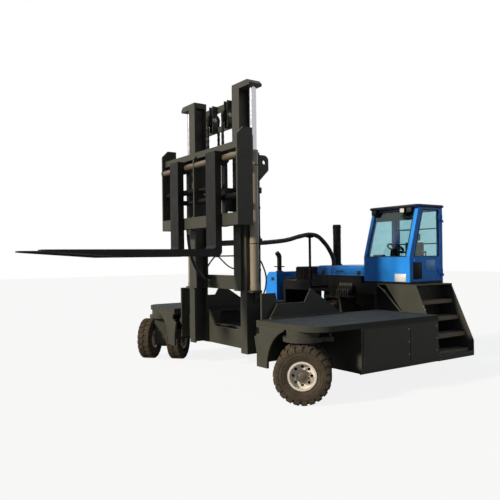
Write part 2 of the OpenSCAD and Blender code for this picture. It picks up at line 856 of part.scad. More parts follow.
// Rim round the Y axis for a tyre of a width: seat radius, disc's place along the axle, hub radius
module rim(seat_r, w, disc_y, hub_r) {
    bead = tyre_section[0][1] * w / 2 + run_gap;
    edge = bead + rim_flange_t;
    hole_ring_r = (seat_r - rim_wall + hub_r) / 2;
    hole_r = (seat_r - rim_wall - hub_r) / 4;
    rotate([90, 0, 0]) difference() {
        union() {
            rotate_extrude() {
                translate([seat_r - rim_wall, -edge]) square([rim_wall, 2 * edge]);
                for (y = [-edge, bead])
                    translate([seat_r - rim_wall, y]) square([rim_wall + rim_flange_h, rim_flange_t]);
            }
            translate([0, 0, disc_y - rim_disc_t / 2]) cylinder(h = rim_disc_t, r = seat_r - rim_wall / 2);
        }
        for (i = [0:rim_hole_count - 1])
            rotate([0, 0, i * 360 / rim_hole_count]) translate([hole_ring_r, 0, disc_y - rim_disc_t])
                cylinder(h = 2 * rim_disc_t, r = hole_r);
    }
}

// Frame of the left front wheels: axle along Y, standing on the ground under the pivot
module front_wheel_frame() {
    translate([front_pivot_x, front_pivot_y, 0]) rotate([0, 0, -front_steer_deg]) children();
}

// Leg between the twin wheels
leg_gap = 28;
leg_half_w = twin_offset - front_tyre_w / 2 - leg_gap;
leg_half_l = 165;
leg_plate_z = 2 * front_tyre_r + 25;
leg_plate_t = 65;
leg_plate_r = 300;
slew_ring_r = 250;
steer_arm_l = 400;
steer_arm_w = 110;
ball_pin_r = 22;
ball_pin_h = 60;

module front_leg() {
    plate_top = leg_plate_z + leg_plate_t;
    front_wheel_frame() difference() {
        union() {
            side_profile([-leg_half_w, leg_half_w]) {
                translate([-leg_half_l, front_tyre_r]) square([2 * leg_half_l, leg_plate_z - front_tyre_r]);
                translate([0, front_tyre_r]) circle(r = leg_half_l);
            }
            bar_z(0, 0, [leg_plate_z, plate_top], leg_plate_r);
            bar_z(0, 0, [plate_top, deck_under - run_gap], slew_ring_r);
            block([-steer_arm_l, 0], [-steer_arm_w / 2, steer_arm_w / 2], [leg_plate_z, plate_top]);
            bar_z(-steer_arm_l, 0, [leg_plate_z, plate_top], steer_arm_w / 2);
            bar_z(-steer_arm_l, 0, [plate_top, plate_top + ball_pin_h], ball_pin_r);
        }
        bar_y(0, front_tyre_r, [-leg_half_w - over, leg_half_w + over], front_axle_r + run_gap);
    }
}

module front_leg_left() {
    color(charcoal) front_leg();
}

module front_leg_right() {
    color(charcoal) mirror([0, 1, 0]) front_leg();
}

module front_tyres() {
    front_wheel_frame() for (side = [-1, 1])
        translate([0, side * twin_offset, front_tyre_r]) tyre(front_tyre_r, front_tyre_w, front_rim_r);
}

module front_tyres_left() {
    color(tyre_black) front_tyres();
}

module front_tyres_right() {
    color(tyre_black) mirror([0, 1, 0]) front_tyres();
}

// Place of a front rim's disc outside its middle, and the hub cap
front_disc_out = 40;
front_hub_r = 88;
hub_cap_l = 70;

module front_rims() {
    axle_end = twin_offset + front_disc_out;
    front_wheel_frame() translate([0, 0, front_tyre_r]) {
        for (side = [-1, 1]) translate([0, side * twin_offset, 0])
            rim(front_rim_r, front_tyre_w, -side * front_disc_out, front_hub_r);
        bar_y(0, 0, [-axle_end, axle_end], front_axle_r);
        for (y = [[-axle_end - hub_cap_l, -axle_end], [axle_end, axle_end + hub_cap_l]])
            bar_y(0, 0, y, front_hub_r);
    }
}

module front_rims_left() {
    color(rim_cream) front_rims();
}

module front_rims_right() {
    color(rim_cream) mirror([0, 1, 0]) front_rims();
}

// Yoke of the rear wheel: gaps, and half lengths at the axle and under the top plate
yoke_gap = 25;
yoke_axle_boss_r = 130;
yoke_top_half_l = 240;
yoke_plate_z = 2 * rear_tyre_r + 20;
yoke_plate_t = 50;
rear_ring_r = 230;

module rear_yoke() {
    inner = rear_tyre_w / 2 + yoke_gap;
    outer = inner + yoke_cheek_t;
    color(charcoal) translate([rear_pivot_x, 0, 0]) difference() {
        union() {
            for (y = [[-outer, -inner], [inner, outer]]) side_profile(y) {
                translate([0, rear_tyre_r]) circle(r = yoke_axle_boss_r);
                polygon([[-yoke_axle_boss_r, rear_tyre_r], [yoke_axle_boss_r, rear_tyre_r],
                    [yoke_top_half_l, yoke_plate_z], [-yoke_top_half_l, yoke_plate_z]]);
            }
            block([-yoke_top_half_l, yoke_top_half_l], [-outer, outer],
                [yoke_plate_z, yoke_plate_z + yoke_plate_t]);
            bar_z(0, 0, [yoke_plate_z + yoke_plate_t, bridge_z - run_gap], rear_ring_r);
        }
        bar_y(0, rear_tyre_r, [-outer - over, outer + over], rear_axle_r + run_gap);
    }
}

module rear_tyre() {
    color(tyre_black) translate([rear_pivot_x, 0, rear_tyre_r]) tyre(rear_tyre_r, rear_tyre_w, rear_rim_r);
}

rear_hub_r = 130;

module rear_rim() {
    outer = rear_tyre_w / 2 + yoke_gap + yoke_cheek_t;
    color(rim_cream) translate([rear_pivot_x, 0, rear_tyre_r]) {
        rim(rear_rim_r, rear_tyre_w, 0, rear_hub_r);
        bar_y(0, 0, [-outer, outer], rear_axle_r);
        bar_y(0, 0, [-rear_tyre_w / 2, rear_tyre_w / 2], rear_hub_r - over);
    }
}

// Outer mast

mast_front_x = mast_rear_x + mast_depth;
// Shelf under each lift barrel: height of its top, thickness, half length and the depth of its gusset
shelf_top = 1570;
shelf_t = 40;
shelf_half_l = 95;
gusset_h = 190;
// Ear behind each column's head: how far back it reaches, its heights, and its lifting eye
ear_x = -160;
ear_z = [3410, 3600, 3850];
lift_eye = [-70, 3730];
lift_eye_r = 35;

ear_r = 90;

// Side outline of an ear, with a round upper corner
module ear_outline() {
    difference() {
        union() {
            polygon([[mast_rear_x, ear_z[0]], [mast_rear_x, ear_z[2]], [ear_x + ear_r, ear_z[2]],
                [ear_x, ear_z[2] - ear_r], [ear_x, ear_z[1]]]);
            translate([ear_x + ear_r, ear_z[2] - ear_r]) circle(r = ear_r);
        }
        translate(lift_eye) circle(r = lift_eye_r);
    }
}

// Outer channel of the mast with its ear
module outer_column() {
    flange_y = mast_half_w - outer_flange_w;
    plan_profile([mast_bottom, mast_top]) {
        translate([mast_rear_x, mast_half_w - web_t]) square([mast_depth, web_t]);
        translate([mast_rear_x, flange_y]) square([flange_t, outer_flange_w]);
        translate([mast_front_x - flange_t, flange_y]) square([flange_t, outer_flange_w]);
    }
    side_profile([mast_half_w - web_t, mast_half_w]) ear_outline();
}

module outer_column_left() {
    color(charcoal) outer_column();
}

module outer_column_right() {
    color(charcoal) mirror([0, 1, 0]) outer_column();
}

module mast_feet() {
    shelf_y = lift_y + lift_barrel_r;
    shelf_under = shelf_top - shelf_t;
    color(charcoal) both_sides() {
        block([lift_x - shelf_half_l, lift_x + shelf_half_l], [mast_half_w, shelf_y],
            [shelf_under, shelf_top]);
        front_profile([lift_x - shelf_half_l, lift_x - shelf_half_l + shelf_t]) polygon([
            [mast_half_w, shelf_under], [shelf_y, shelf_under], [mast_half_w, shelf_under - gusset_h]]);
    }
}

// Crossbars behind the columns: lower and upper edges
crossbar_t = 40;
crossbars = [[2335, 2435], [3200, 3300]];
// Plate at the foot: its rise at the columns, and the opening over its middle
foot_plate_top = 1110;
foot_plate_mid = 820;
foot_opening_half = [mast_half_w - 425, mast_half_w - outer_flange_w];
// Chain anchors in front of the upper crossbar
anchor_half_w = 38;
anchor_top = 3250;
chain_t = 30;

sheave_x = mast_rear_x + mast_depth / 2 + 12;
chain_rear_x = sheave_x - sheave_r;
chain_front_x = sheave_x + sheave_r;

module outer_mast_crossbars() {
    bar_x = [mast_rear_x - crossbar_t, mast_rear_x];
    color(charcoal) {
        for (z = crossbars) block(bar_x, [-mast_half_w, mast_half_w], z);
        front_profile(bar_x) difference() {
            translate([-mast_half_w, mast_bottom]) square([2 * mast_half_w, foot_plate_top - mast_bottom]);
            polygon([[-foot_opening_half[0], foot_plate_mid], [foot_opening_half[0], foot_plate_mid],
                [foot_opening_half[1], foot_plate_top + over],
                [-foot_opening_half[1], foot_plate_top + over]]);
        }
        for (y = [-chain_y, chain_y])
            block([mast_rear_x, chain_rear_x + chain_t / 2], [y - anchor_half_w, y + anchor_half_w],
                [crossbars[1][0], anchor_top]);
    }
}

// Carriage that slides the mast along the guide rails
reach_side_y = [arm_inner_y - 70, arm_inner_y - 30];
reach_x = [-600, mast_front_x - flange_t / 2];
reach_z = [560, 1000];
reach_ear_top = 1530;
reach_ear_slope = 120;
reach_link_l = 120;
reach_beam_l = 100;
reach_beam_h = 200;
reach_roller_xs = [-430, 150];
reach_roller_end_gap = 10;

module reach_carriage() {
    roller_y = [reach_side_y[0], rail_outer_y - rail_wall - reach_roller_end_gap];
    color(charcoal) {
        both_sides() {
            side_profile(reach_side_y) polygon([[reach_x[0], reach_z[0]], [reach_x[1], reach_z[0]],
                [reach_x[1], reach_ear_top], [mast_rear_x, reach_ear_top],
                [mast_rear_x - reach_ear_slope, reach_z[1]], [reach_x[0], reach_z[1]]]);
            block([mast_rear_x, mast_rear_x + reach_link_l], [mast_half_w, reach_side_y[0]], reach_z);
            for (x = reach_roller_xs) bar_y(x, track_z, roller_y, track_h / 2 - run_gap);
        }
        block([reach_x[0], reach_x[0] + reach_beam_l], [-reach_side_y[1], reach_side_y[1]],
            [reach_z[0], reach_z[0] + reach_beam_h]);
    }
}

// Lift cylinders beside the columns
lift_x = 220;
lift_y = mast_half_w + lift_barrel_r + 12;
barrel_top = mast_top + 5;
barrel_floor = 50;
barrel_gland_h = 70;
barrel_foot_h = 90;
barrel_gland_r = lift_barrel_r + 8;
clamp_zs = [2300, 3600];
clamp_h = 90;
clamp_half_l = 40;

module lift_barrels() {
    color(charcoal) both_sides() difference() {
        union() {
            bar_z(lift_x, lift_y, [shelf_top, barrel_top], lift_barrel_r);
            bar_z(lift_x, lift_y, [barrel_top - barrel_gland_h, barrel_top], barrel_gland_r);
            for (z = clamp_zs)
                block([lift_x - clamp_half_l, lift_x + clamp_half_l], [mast_half_w, lift_y],
                    [z, z + clamp_h]);
            bar_z(lift_x, lift_y, [shelf_top, shelf_top + barrel_foot_h], barrel_gland_r);
        }
        bar_z(lift_x, lift_y, [shelf_top + barrel_floor, barrel_top + over], lift_rod_r + run_gap);
    }
}

// Inner mast

column_gap = 6;
inner_rear_x = mast_rear_x + flange_t + 40;
inner_front_x = mast_front_x + column_gap + flange_t;
inner_y0 = mast_half_w - 326;
inner_web_t = 30;
inner_web_y = [inner_y0 + 83, inner_y0 + 83 + inner_web_t];
// Stub roller at the foot of each inner column, running in the outer column
stub_roller_z = inner_bottom + 125;
stub_roller_r = mast_depth / 2 - flange_t - run_gap;

module inner_mast_columns() {
    flange_y1 = inner_y0 + inner_flange_w;
    color(charcoal) both_sides() {
        difference() {
            plan_profile([inner_bottom, inner_top]) {
                translate([inner_rear_x, inner_web_y[0]])
                    square([inner_front_x - inner_rear_x, inner_web_y[1] - inner_web_y[0]]);
                for (x = [inner_rear_x, inner_front_x - flange_t])
                    translate([x, inner_y0]) square([flange_t, inner_flange_w]);
            }
            block([inner_rear_x - over, inner_rear_x + flange_t + over], [inner_web_y[1], flange_y1 + over],
                [inner_bottom - over, stub_roller_z + stub_roller_r + over]);
        }
        bar_y(mast_rear_x + mast_depth / 2, stub_roller_z,
            [inner_web_y[0], mast_half_w - web_t - column_gap], stub_roller_r);
    }
}

// Crossbars of the inner mast: lower and upper edges above the foot or below the top
inner_plate_h = 250;
inner_top_bars = [[-530, -430], [-170, -50]];
sheave_z = inner_top - 310;
sheave_shaft_r = 28;
chain_half_w = 30;
sheave_bracket_ys = [chain_half_w + 14, chain_half_w + 28];
sheave_bracket_x1 = sheave_x + 50;

module inner_mast_crossbars() {
    bar_x = [inner_rear_x, inner_rear_x + flange_t];
    color(charcoal) {
        block(bar_x, [-inner_y0, inner_y0], [inner_bottom, inner_bottom + inner_plate_h]);
        for (z = inner_top_bars) block(bar_x, [-inner_y0, inner_y0], [inner_top + z[0], inner_top + z[1]]);
    }
}

module sheave_brackets() {
    bracket_z = [inner_top + inner_top_bars[0][0], inner_top + inner_top_bars[1][1]];
    color(charcoal) difference() {
        for (side = [-1, 1], y = [-chain_y, chain_y]) {
            y0 = y + side * sheave_bracket_ys[0];
            y1 = y + side * sheave_bracket_ys[1];
            block([inner_rear_x + flange_t, sheave_bracket_x1], [min(y0, y1), max(y0, y1)], bracket_z);
        }
        bar_y(sheave_x, sheave_z, [-2 * chain_y, 2 * chain_y], sheave_shaft_r + run_gap);
    }
}

sheave_flange_h = 10;

module sheaves() {
    flange_y = chain_half_w + 2;
    wide_y = sheave_bracket_ys[0] - 4;
    color(dark_steel) for (y = [-chain_y, chain_y]) translate([sheave_x, y, sheave_z]) {
        bar_y(0, 0, [-sheave_bracket_ys[1], sheave_bracket_ys[1]], sheave_shaft_r);
        bar_y(0, 0, [-wide_y, wide_y], sheave_r - chain_t / 2);
        for (side = [[-wide_y, -flange_y], [flange_y, wide_y]])
            bar_y(0, 0, side, sheave_r + sheave_flange_h);
        rotate([90, 0, 0]) rotate_extrude(angle = 180)
            translate([sheave_r - chain_t / 2 - 2, -chain_half_w]) square([chain_t + 2, 2 * chain_half_w]);
    }
}

rod_foot = 2680;

module lift_rods() {
    color(chrome) both_sides() bar_z(lift_x, lift_y, [rod_foot, inner_top], lift_rod_r);
}

// Head that ties each lift rod to its inner column
rod_head_h = 100;
rod_head_y = lift_y + 100;
rod_head_bevel = 60;

module rod_heads() {
    color(charcoal) both_sides() front_profile([inner_rear_x, inner_front_x])
        polygon([[inner_y0, inner_top], [rod_head_y, inner_top],
            [rod_head_y, inner_top + rod_head_h - rod_head_bevel],
            [rod_head_y - rod_head_bevel, inner_top + rod_head_h], [inner_y0, inner_top + rod_head_h]]);
}

// Leaf chain: distance between its pins, and how far the wide links' sides stand back from the narrow ones
link_pitch = 80;
link_step = 5;

// One link between two pins, with round ends
module chain_link(z, half_w, r) {
    side_profile([-half_w, half_w]) {
        translate([-r, z]) square([2 * r, link_pitch]);
        for (at = [z, z + link_pitch]) translate([0, at]) circle(r = r);
    }
}

// One upright stretch of both lift chains
module chain_strands(x, z) {
    r = chain_t / 2;
    for (y = [-chain_y, chain_y]) translate([x, y, 0]) intersection() {
        for (i = [0:floor((z[1] - z[0]) / link_pitch)])
            chain_link(z[0] + i * link_pitch, chain_half_w - (i % 2) * 2 * link_step,
                r - (i % 2) * link_step / 2);
        block([-chain_t, chain_t], [-2 * chain_half_w, 2 * chain_half_w], z);
    }
}

module chains_rear() {
    color(dark_steel) chain_strands(chain_rear_x, [anchor_top, sheave_z]);
}

// Height of the chain anchors on the fork carriage
carriage_anchor_z = 3300;

module chains_front() {
    color(dark_steel) chain_strands(chain_front_x, [carriage_anchor_z, sheave_z]);
}

// Fork carriage

end_plate_t = 35;
end_plate_y0 = carriage_half_w - end_plate_t;
carriage_back_x = 420;
lower_bar_h = 200;
lower_bar_x0 = 540;
top_rail_z = [3880, 3990];
stile_x = [480, 540];
back_rail_z = [3230, 3300];
mid_plate_y = [-97.5, -62.5];
hanger_x = 660;
// Corner cut on the end plates' upper front edge
end_plate_bevel = 120;
// Roller brackets that reach back into the inner mast
bracket_t = 40;
bracket_y = [inner_y0 - column_gap - bracket_t, inner_y0 - column_gap];
stile_y = [bracket_y[0] - 30, bracket_y[1] + 30];
bracket_x0 = 150;
bracket_z = [2900, 3300];
bracket_roller_zs = [3010, 3190];
bracket_roller_x = (inner_rear_x + inner_front_x) / 2;
bracket_roller_r = (inner_front_x - inner_rear_x) / 2 - flange_t - run_gap;
bracket_roller_gap = 5;
// Fork positioner cylinders: place along X, height of the left and the right fork's rod
positioner_x = 610;
left_rod_z = 3320;
right_rod_z = 3120;
positioner_r = 50;
positioner_rod_r = 30;
positioner_cap = 20;
rod_hole_gap = 6;

// Side outline shared by the end plates and the middle plate
module carriage_plate_outline(top) {
    difference() {
        polygon([[carriage_back_x, carriage_bottom], [fork_back_x - run_gap, carriage_bottom],
            [fork_back_x - run_gap, top - end_plate_bevel], [fork_back_x - end_plate_bevel, top],
            [carriage_back_x, top]]);
        translate([hanger_x, hanger_z]) circle(r = hanger_r + run_gap);
    }
}

module carriage_frame() {
    front_x = fork_back_x - run_gap;
    color(charcoal) {
        both_sides() {
            side_profile([end_plate_y0, carriage_half_w]) carriage_plate_outline(carriage_top);
            block(stile_x, stile_y, [carriage_bottom, top_rail_z[1]]);
            block([bracket_x0, stile_x[0]], bracket_y, bracket_z);
            for (z = bracket_roller_zs)
                bar_y(bracket_roller_x, z, [bracket_y[1], inner_web_y[0] - bracket_roller_gap],
                    bracket_roller_r);
            block([chain_front_x - chain_t / 2, stile_x[0]],
                [chain_y - anchor_half_w, chain_y + anchor_half_w], back_rail_z);
        }
        difference() {
            side_profile(mid_plate_y) carriage_plate_outline(top_rail_z[1]);
            for (z = [left_rod_z, right_rod_z])
                bar_y(positioner_x, z, [mid_plate_y[0] - over, mid_plate_y[1] + over],
                    positioner_rod_r + rod_hole_gap);
        }
        block([lower_bar_x0, front_x], [-end_plate_y0, end_plate_y0],
            [carriage_bottom, carriage_bottom + lower_bar_h]);
        block([stile_x[0], hanger_x], [-end_plate_y0, end_plate_y0], top_rail_z);
        block(stile_x, [-stile_y[0], stile_y[0]], back_rail_z);
    }
}

module hanger_shaft() {
    color(chrome) bar_y(hanger_x, hanger_z, [-carriage_half_w, carriage_half_w], hanger_r);
}

// Barrel between the middle plate and an end plate, open towards the middle
module positioner_barrel(z, y, open_y) {
    bore_y = [for (end = y) end == open_y ? end : end + sign(open_y - end) * positioner_cap];
    difference() {
        bar_y(positioner_x, z, y, positioner_r);
        bar_y(positioner_x, z, [bore_y[0] - (bore_y[0] == open_y ? over : 0),
            bore_y[1] + (bore_y[1] == open_y ? over : 0)], positioner_rod_r + run_gap);
    }
}

module positioners() {
    color(dark_steel) {
        positioner_barrel(left_rod_z, [-end_plate_y0, mid_plate_y[0]], mid_plate_y[0]);
        positioner_barrel(right_rod_z, [mid_plate_y[1], end_plate_y0], mid_plate_y[1]);
    }
}

// Forks

fork_tip_t = 25;
fork_taper_l = 1300;
fork_eye_r = 105;
heel_r = 90;
heel_fillet_r = 60;
tip_bevel = [200, 55];
fork_lug_w = 40;
fork_lug_half_h = 42;
// Length of a positioner rod from the fork's inner edge into its barrel
positioner_rod_l = [1140, 940];

// Side outline of a fork
module fork_outline() {
    bottom = fork_top_z - fork_t;
    front = fork_back_x + fork_t;
    difference() {
        union() {
            polygon([[fork_back_x, bottom], [fork_tip_x - fork_taper_l, bottom],
                [fork_tip_x, fork_top_z - fork_tip_t], [fork_tip_x, fork_top_z], [fork_back_x, fork_top_z]]);
            translate([fork_back_x, bottom]) square([fork_t, hanger_z - bottom]);
            translate([hanger_x, hanger_z - fork_eye_r]) square([front - hanger_x, 2 * fork_eye_r]);
            translate([hanger_x, hanger_z]) circle(r = fork_eye_r);
            difference() {
                translate([front, fork_top_z]) square(heel_fillet_r);
                translate([front + heel_fillet_r, fork_top_z + heel_fillet_r]) circle(r = heel_fillet_r);
            }
        }
        difference() {
            translate([fork_back_x - over, bottom - over]) square(heel_r + over);
            translate([fork_back_x + heel_r, bottom + heel_r]) circle(r = heel_r);
        }
        translate([hanger_x, hanger_z]) circle(r = hanger_r + run_gap);
    }
}

// Fork at a place along the shaft, with the rod that moves it on its inner side
module fork(y, rod_z, rod_l) {
    inner = -sign(y);
    edge_y = y + inner * fork_w / 2;
    lug_y = [edge_y, edge_y - inner * fork_lug_w];
    rod_y = [edge_y - inner * fork_lug_w / 2, edge_y + inner * rod_l];
    intersection() {
        side_profile([y - fork_w / 2, y + fork_w / 2]) fork_outline();
        plan_profile([0, carriage_top]) translate([0, y]) polygon([
            [hanger_x - fork_w, -fork_w / 2], [fork_tip_x - tip_bevel[0], -fork_w / 2],
            [fork_tip_x, tip_bevel[1] - fork_w / 2], [fork_tip_x, fork_w / 2 - tip_bevel[1]],
            [fork_tip_x - tip_bevel[0], fork_w / 2], [hanger_x - fork_w, fork_w / 2]]);
    }
    block([positioner_x - fork_lug_half_h, fork_back_x], [min(lug_y), max(lug_y)],
        [rod_z - fork_lug_half_h, rod_z + fork_lug_half_h]);
    bar_y(positioner_x, rod_z, [min(rod_y), max(rod_y)], positioner_rod_r);
}

module fork_left() {
    color(dark_steel) fork(fork_left_y, left_rod_z, positioner_rod_l[0]);
}

module fork_right() {
    color(dark_steel) fork(fork_right_y, right_rod_z, positioner_rod_l[1]);
}

// Hoses

// Route of the hose bundle from the mast over the post to the hood
mast_hose_route = [[-10, 0, 2385], [-330, 0, 2385], [-660, 0, 2388], [-1266, 0, 2440], [-1640, 0, 2522],
    [-1910, 0, 2562], [-2140, 0, 2522], [-2370, 0, 2340], [-2510, 0, 2150], [-2560, 0, 2030],
    [-2560, 0, 1930]];
mast_hose_r = 45;
// Route of a carriage hose from the lower bar to the inner mast's foot
carriage_hose_route = [[600, 0, 2640], [600, 0, 2480], [560, 0, 2230], [470, 0, 1980], [330, 0, 1790],
    [220, 0, 1690], [130, 0, 1690]];
carriage_hose_ys = [-480, -530];
carriage_hose_r = 18;
hose_sides = 10;
hose_rings = 4;

function unit(v) = v / norm(v);

// Point on a smooth curve through four points, at a share of the middle stretch
function curve_point(p, t) =
    ((2 * p[1]) + (p[2] - p[0]) * t + (2 * p[0] - 5 * p[1] + 4 * p[2] - p[3]) * t * t
        + (3 * p[1] - p[0] - 3 * p[2] + p[3]) * t * t * t) / 2;

// Smooth curve through a route, with a number of rings on each stretch
function curve(route, rings) = let (n = len(route)) concat(
    [for (i = [0:n - 2], k = [0:rings - 1])
        curve_point([route[max(i - 1, 0)], route[i], route[i + 1], route[min(i + 2, n - 1)]], k / rings)],
    [route[n - 1]]);

// Hose along a route that lies in a plane of constant Y
module hose(route, r, rings) {
    line = curve(route, rings);
    n = len(line);
    across = [0, 1, 0];
    last = len(route) - 1;
    ways = [for (i = [0:n - 1]) unit(i == 0 ? route[1] - route[0]
        : i == n - 1 ? route[last] - route[last - 1] : line[i + 1] - line[i - 1])];
    points = [for (i = [0:n - 1], k = [0:hose_sides - 1]) let (a = 360 * k / hose_sides)
        line[i] + r * cos(a) * cross(ways[i], across) + r * sin(a) * across];
    walls = [for (i = [0:n - 2], k = [0:hose_sides - 1]) let (
        a = i * hose_sides + k,
        b = i * hose_sides + (k + 1) % hose_sides)
        each [[a, b, b + hose_sides], [a, b + hose_sides, a + hose_sides]]];
    start_cap = [for (k = [hose_sides - 1:-1:0]) k];
    end_cap = [for (k = [0:hose_sides - 1]) (n - 1) * hose_sides + k];
    polyhedron(points, concat(walls, [start_cap, end_cap]));
}

module mast_hose() {
    color(rubber) hose(mast_hose_route, mast_hose_r, hose_rings);
}

module carriage_hoses() {
    color(rubber) for (y = carriage_hose_ys)
        translate([0, y, 0]) hose(carriage_hose_route, carriage_hose_r, hose_rings);
}

decks();
front_plates();
guide_rails();
side_box_left();
side_box_right();
guard_plates();
rear_bridge();
counterweight();
steps();
cab_floor();
cab_front();
cab_rear();
cab_side();
cab_roof();
cab_glass();
seat();
console();
hood();
engine_cover();
engine_block();
radiator();
exhaust_pipe();
intake_stack();
hose_post();
lamps();
cab_door();
door_glass();
front_leg_left();
front_tyres_left();
front_rims_left();
front_leg_right();
front_tyres_right();
front_rims_right();
rear_yoke();
rear_tyre();
rear_rim();
outer_column_left();
outer_column_right();
mast_feet();
outer_mast_crossbars();
reach_carriage();
lift_barrels();
inner_mast_columns();
inner_mast_crossbars();
sheave_brackets();
sheaves();
lift_rods();
rod_heads();
chains_rear();
chains_front();
carriage_frame();
hanger_shaft();
positioners();
fork_left();
fork_right();
mast_hose();
carriage_hoses();
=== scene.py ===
"""Finishes, fittings and stage for a multidirectional side-loading forklift."""

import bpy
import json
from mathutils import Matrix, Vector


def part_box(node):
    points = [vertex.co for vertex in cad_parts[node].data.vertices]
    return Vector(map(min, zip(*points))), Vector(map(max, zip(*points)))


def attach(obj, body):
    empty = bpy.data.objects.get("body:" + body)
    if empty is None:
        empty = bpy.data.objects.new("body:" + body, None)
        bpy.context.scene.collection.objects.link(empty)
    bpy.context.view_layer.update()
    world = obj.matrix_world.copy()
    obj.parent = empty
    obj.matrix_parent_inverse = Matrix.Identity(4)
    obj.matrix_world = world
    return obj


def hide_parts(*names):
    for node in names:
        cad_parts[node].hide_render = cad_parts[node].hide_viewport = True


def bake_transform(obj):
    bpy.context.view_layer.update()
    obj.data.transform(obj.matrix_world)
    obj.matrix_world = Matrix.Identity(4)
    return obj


bl_info = {
    "name": "Multidirectional forklift",
    "version": (1, 0, 0),
    "blender": (4, 5, 0),
    "location": "3D View > Sidebar > Forklift",
    "description": "Dresses the packed forklift with paint, rubber, glass, hoses, chains and fittings",
    "category": "Object",
}

import json
import math

import bmesh
import bpy
from mathutils import Matrix, Vector

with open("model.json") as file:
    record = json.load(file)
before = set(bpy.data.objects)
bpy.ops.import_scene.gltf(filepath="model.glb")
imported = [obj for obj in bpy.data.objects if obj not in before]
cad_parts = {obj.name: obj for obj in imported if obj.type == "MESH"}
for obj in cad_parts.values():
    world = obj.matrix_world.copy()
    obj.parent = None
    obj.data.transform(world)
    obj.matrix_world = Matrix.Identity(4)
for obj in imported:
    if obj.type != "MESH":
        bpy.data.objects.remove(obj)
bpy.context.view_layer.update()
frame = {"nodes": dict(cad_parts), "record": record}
NODES = frame["nodes"]
MM = 0.001
UP = Vector((0, 0, 1))
ALONG = Vector((1, 0, 0))
ACROSS = Vector((0, 1, 0))
SIDES = (1, -1)


def linear(hex_code):
    """Turns an sRGB hex colour into a linear RGBA tuple."""
    channels = [int(hex_code[i:i + 2], 16) / 255 for i in (0, 2, 4)]
    return tuple(c / 12.92 if c <= 0.04045 else ((c + 0.055) / 1.055) ** 2.4 for c in channels) + (1.0,)


def low(node):
    """Lowest corner of a CAD node at rest."""
    return Vector(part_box(node)[0])


def high(node):
    """Highest corner of a CAD node at rest."""
    return Vector(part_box(node)[1])


def centre(node):
    """Middle of a CAD node's box at rest."""
    return (low(node) + high(node)) / 2


# Settings

def colour_setting(name, description, hex_code):
    """Colour property with an sRGB hex colour as its default."""
    return bpy.props.FloatVectorProperty(name=name, description=description, subtype="COLOR", size=4,
                                         min=0, max=1, default=linear(hex_code))


def length_setting(name, description, millimetres):
    """Length property with a default in millimetres."""
    return bpy.props.FloatProperty(name=name, description=description, unit="LENGTH",
                                   default=millimetres * MM)


def angle_setting(name, description, degrees):
    """Angle property with a default in degrees."""
    return bpy.props.FloatProperty(name=name, description=description, subtype="ANGLE",
                                   default=math.radians(degrees))


class ForkliftPaint(bpy.types.PropertyGroup):
    """Colours of the truck's finishes."""
    charcoal: colour_setting("Charcoal", "Enamel on the chassis and mast", "48483f")
    blue: colour_setting("Blue", "Enamel on the cab, hood and engine cover", "2f9bff")
    cream: colour_setting("Cream", "Enamel on the rims", "fbf3e4")
    rubber: colour_setting("Rubber", "Tyre rubber under its dust", "362f27")
    dust: colour_setting("Dust", "Dry yard dust on tyres and ledges", "6f5f4b")


class ForkliftHardware(bpy.types.PropertyGroup):
    """Sizes of the small fittings."""
    bolt_radius: length_setting("Bolt radius", "Radius of a panel bolt's head", 13)
    bolt_height: length_setting("Bolt height", "Height of a panel bolt's head", 9)
    nut_radius: length_setting("Wheel nut radius", "Radius of a wheel nut", 15)
    link_pitch: length_setting("Chain pitch", "Distance between the pins of a lift chain", 50)
    seal_width: length_setting("Seal width", "Width of the rubber seal round a window", 22)


class ForkliftStage(bpy.types.PropertyGroup):
    """Camera and light."""
    camera_place: bpy.props.FloatVectorProperty(
        name="Camera place", description="Where the camera stands", subtype="XYZ", unit="LENGTH", size=3,
        default=(5.856, 8.907, 2.116))
    camera_heading: angle_setting("Camera heading", "Turn of the view from the forks' direction", -125.129)
    camera_pitch: angle_setting("Camera pitch", "Upward tilt of the view", 0.022)
    camera_roll: angle_setting("Camera roll", "Lean of the camera", -0.704)
    camera_lens: bpy.props.FloatProperty(
        name="Lens", description="Focal length on a 36 mm wide sensor", unit="CAMERA", default=41.9)
    sun_strength: bpy.props.FloatProperty(
        name="Sun strength", description="Strength of the main light", default=3.6)
    sky_strength: bpy.props.FloatProperty(
        name="Sky strength", description="Strength of the soft light from all round", default=0.20)


# Node and mesh helpers

# Settings of a colour mix, whose factor is input 0, colours inputs 6 and 7, and result output 2
COLOUR_MIX = {"data_type": "RGBA"}
# Steeper edges than this are drawn sharp
SHARP_ANGLE = math.radians(35)


def add_node(tree, kind, settings=None, inputs=None):
    """Adds a node, sets its properties, and fills its inputs from values or from other nodes' sockets."""
    node = tree.nodes.new(kind)
    for key, value in (settings or {}).items():
        setattr(node, key, value)
    for key, value in (inputs or {}).items():
        if isinstance(value, bpy.types.NodeSocket):
            tree.links.new(value, node.inputs[key])
        else:
            node.inputs[key].default_value = value
    return node


def new_material(name):
    """Empty node material."""
    material = bpy.data.materials.new(name)
    material.use_nodes = True
    material.node_tree.nodes.clear()
    return material, material.node_tree


def surface(tree, inputs):
    """Closes a material with one Principled shader."""
    shader = add_node(tree, "ShaderNodeBsdfPrincipled", {}, inputs)
    add_node(tree, "ShaderNodeOutputMaterial", {}, {"Surface": shader.outputs[0]})


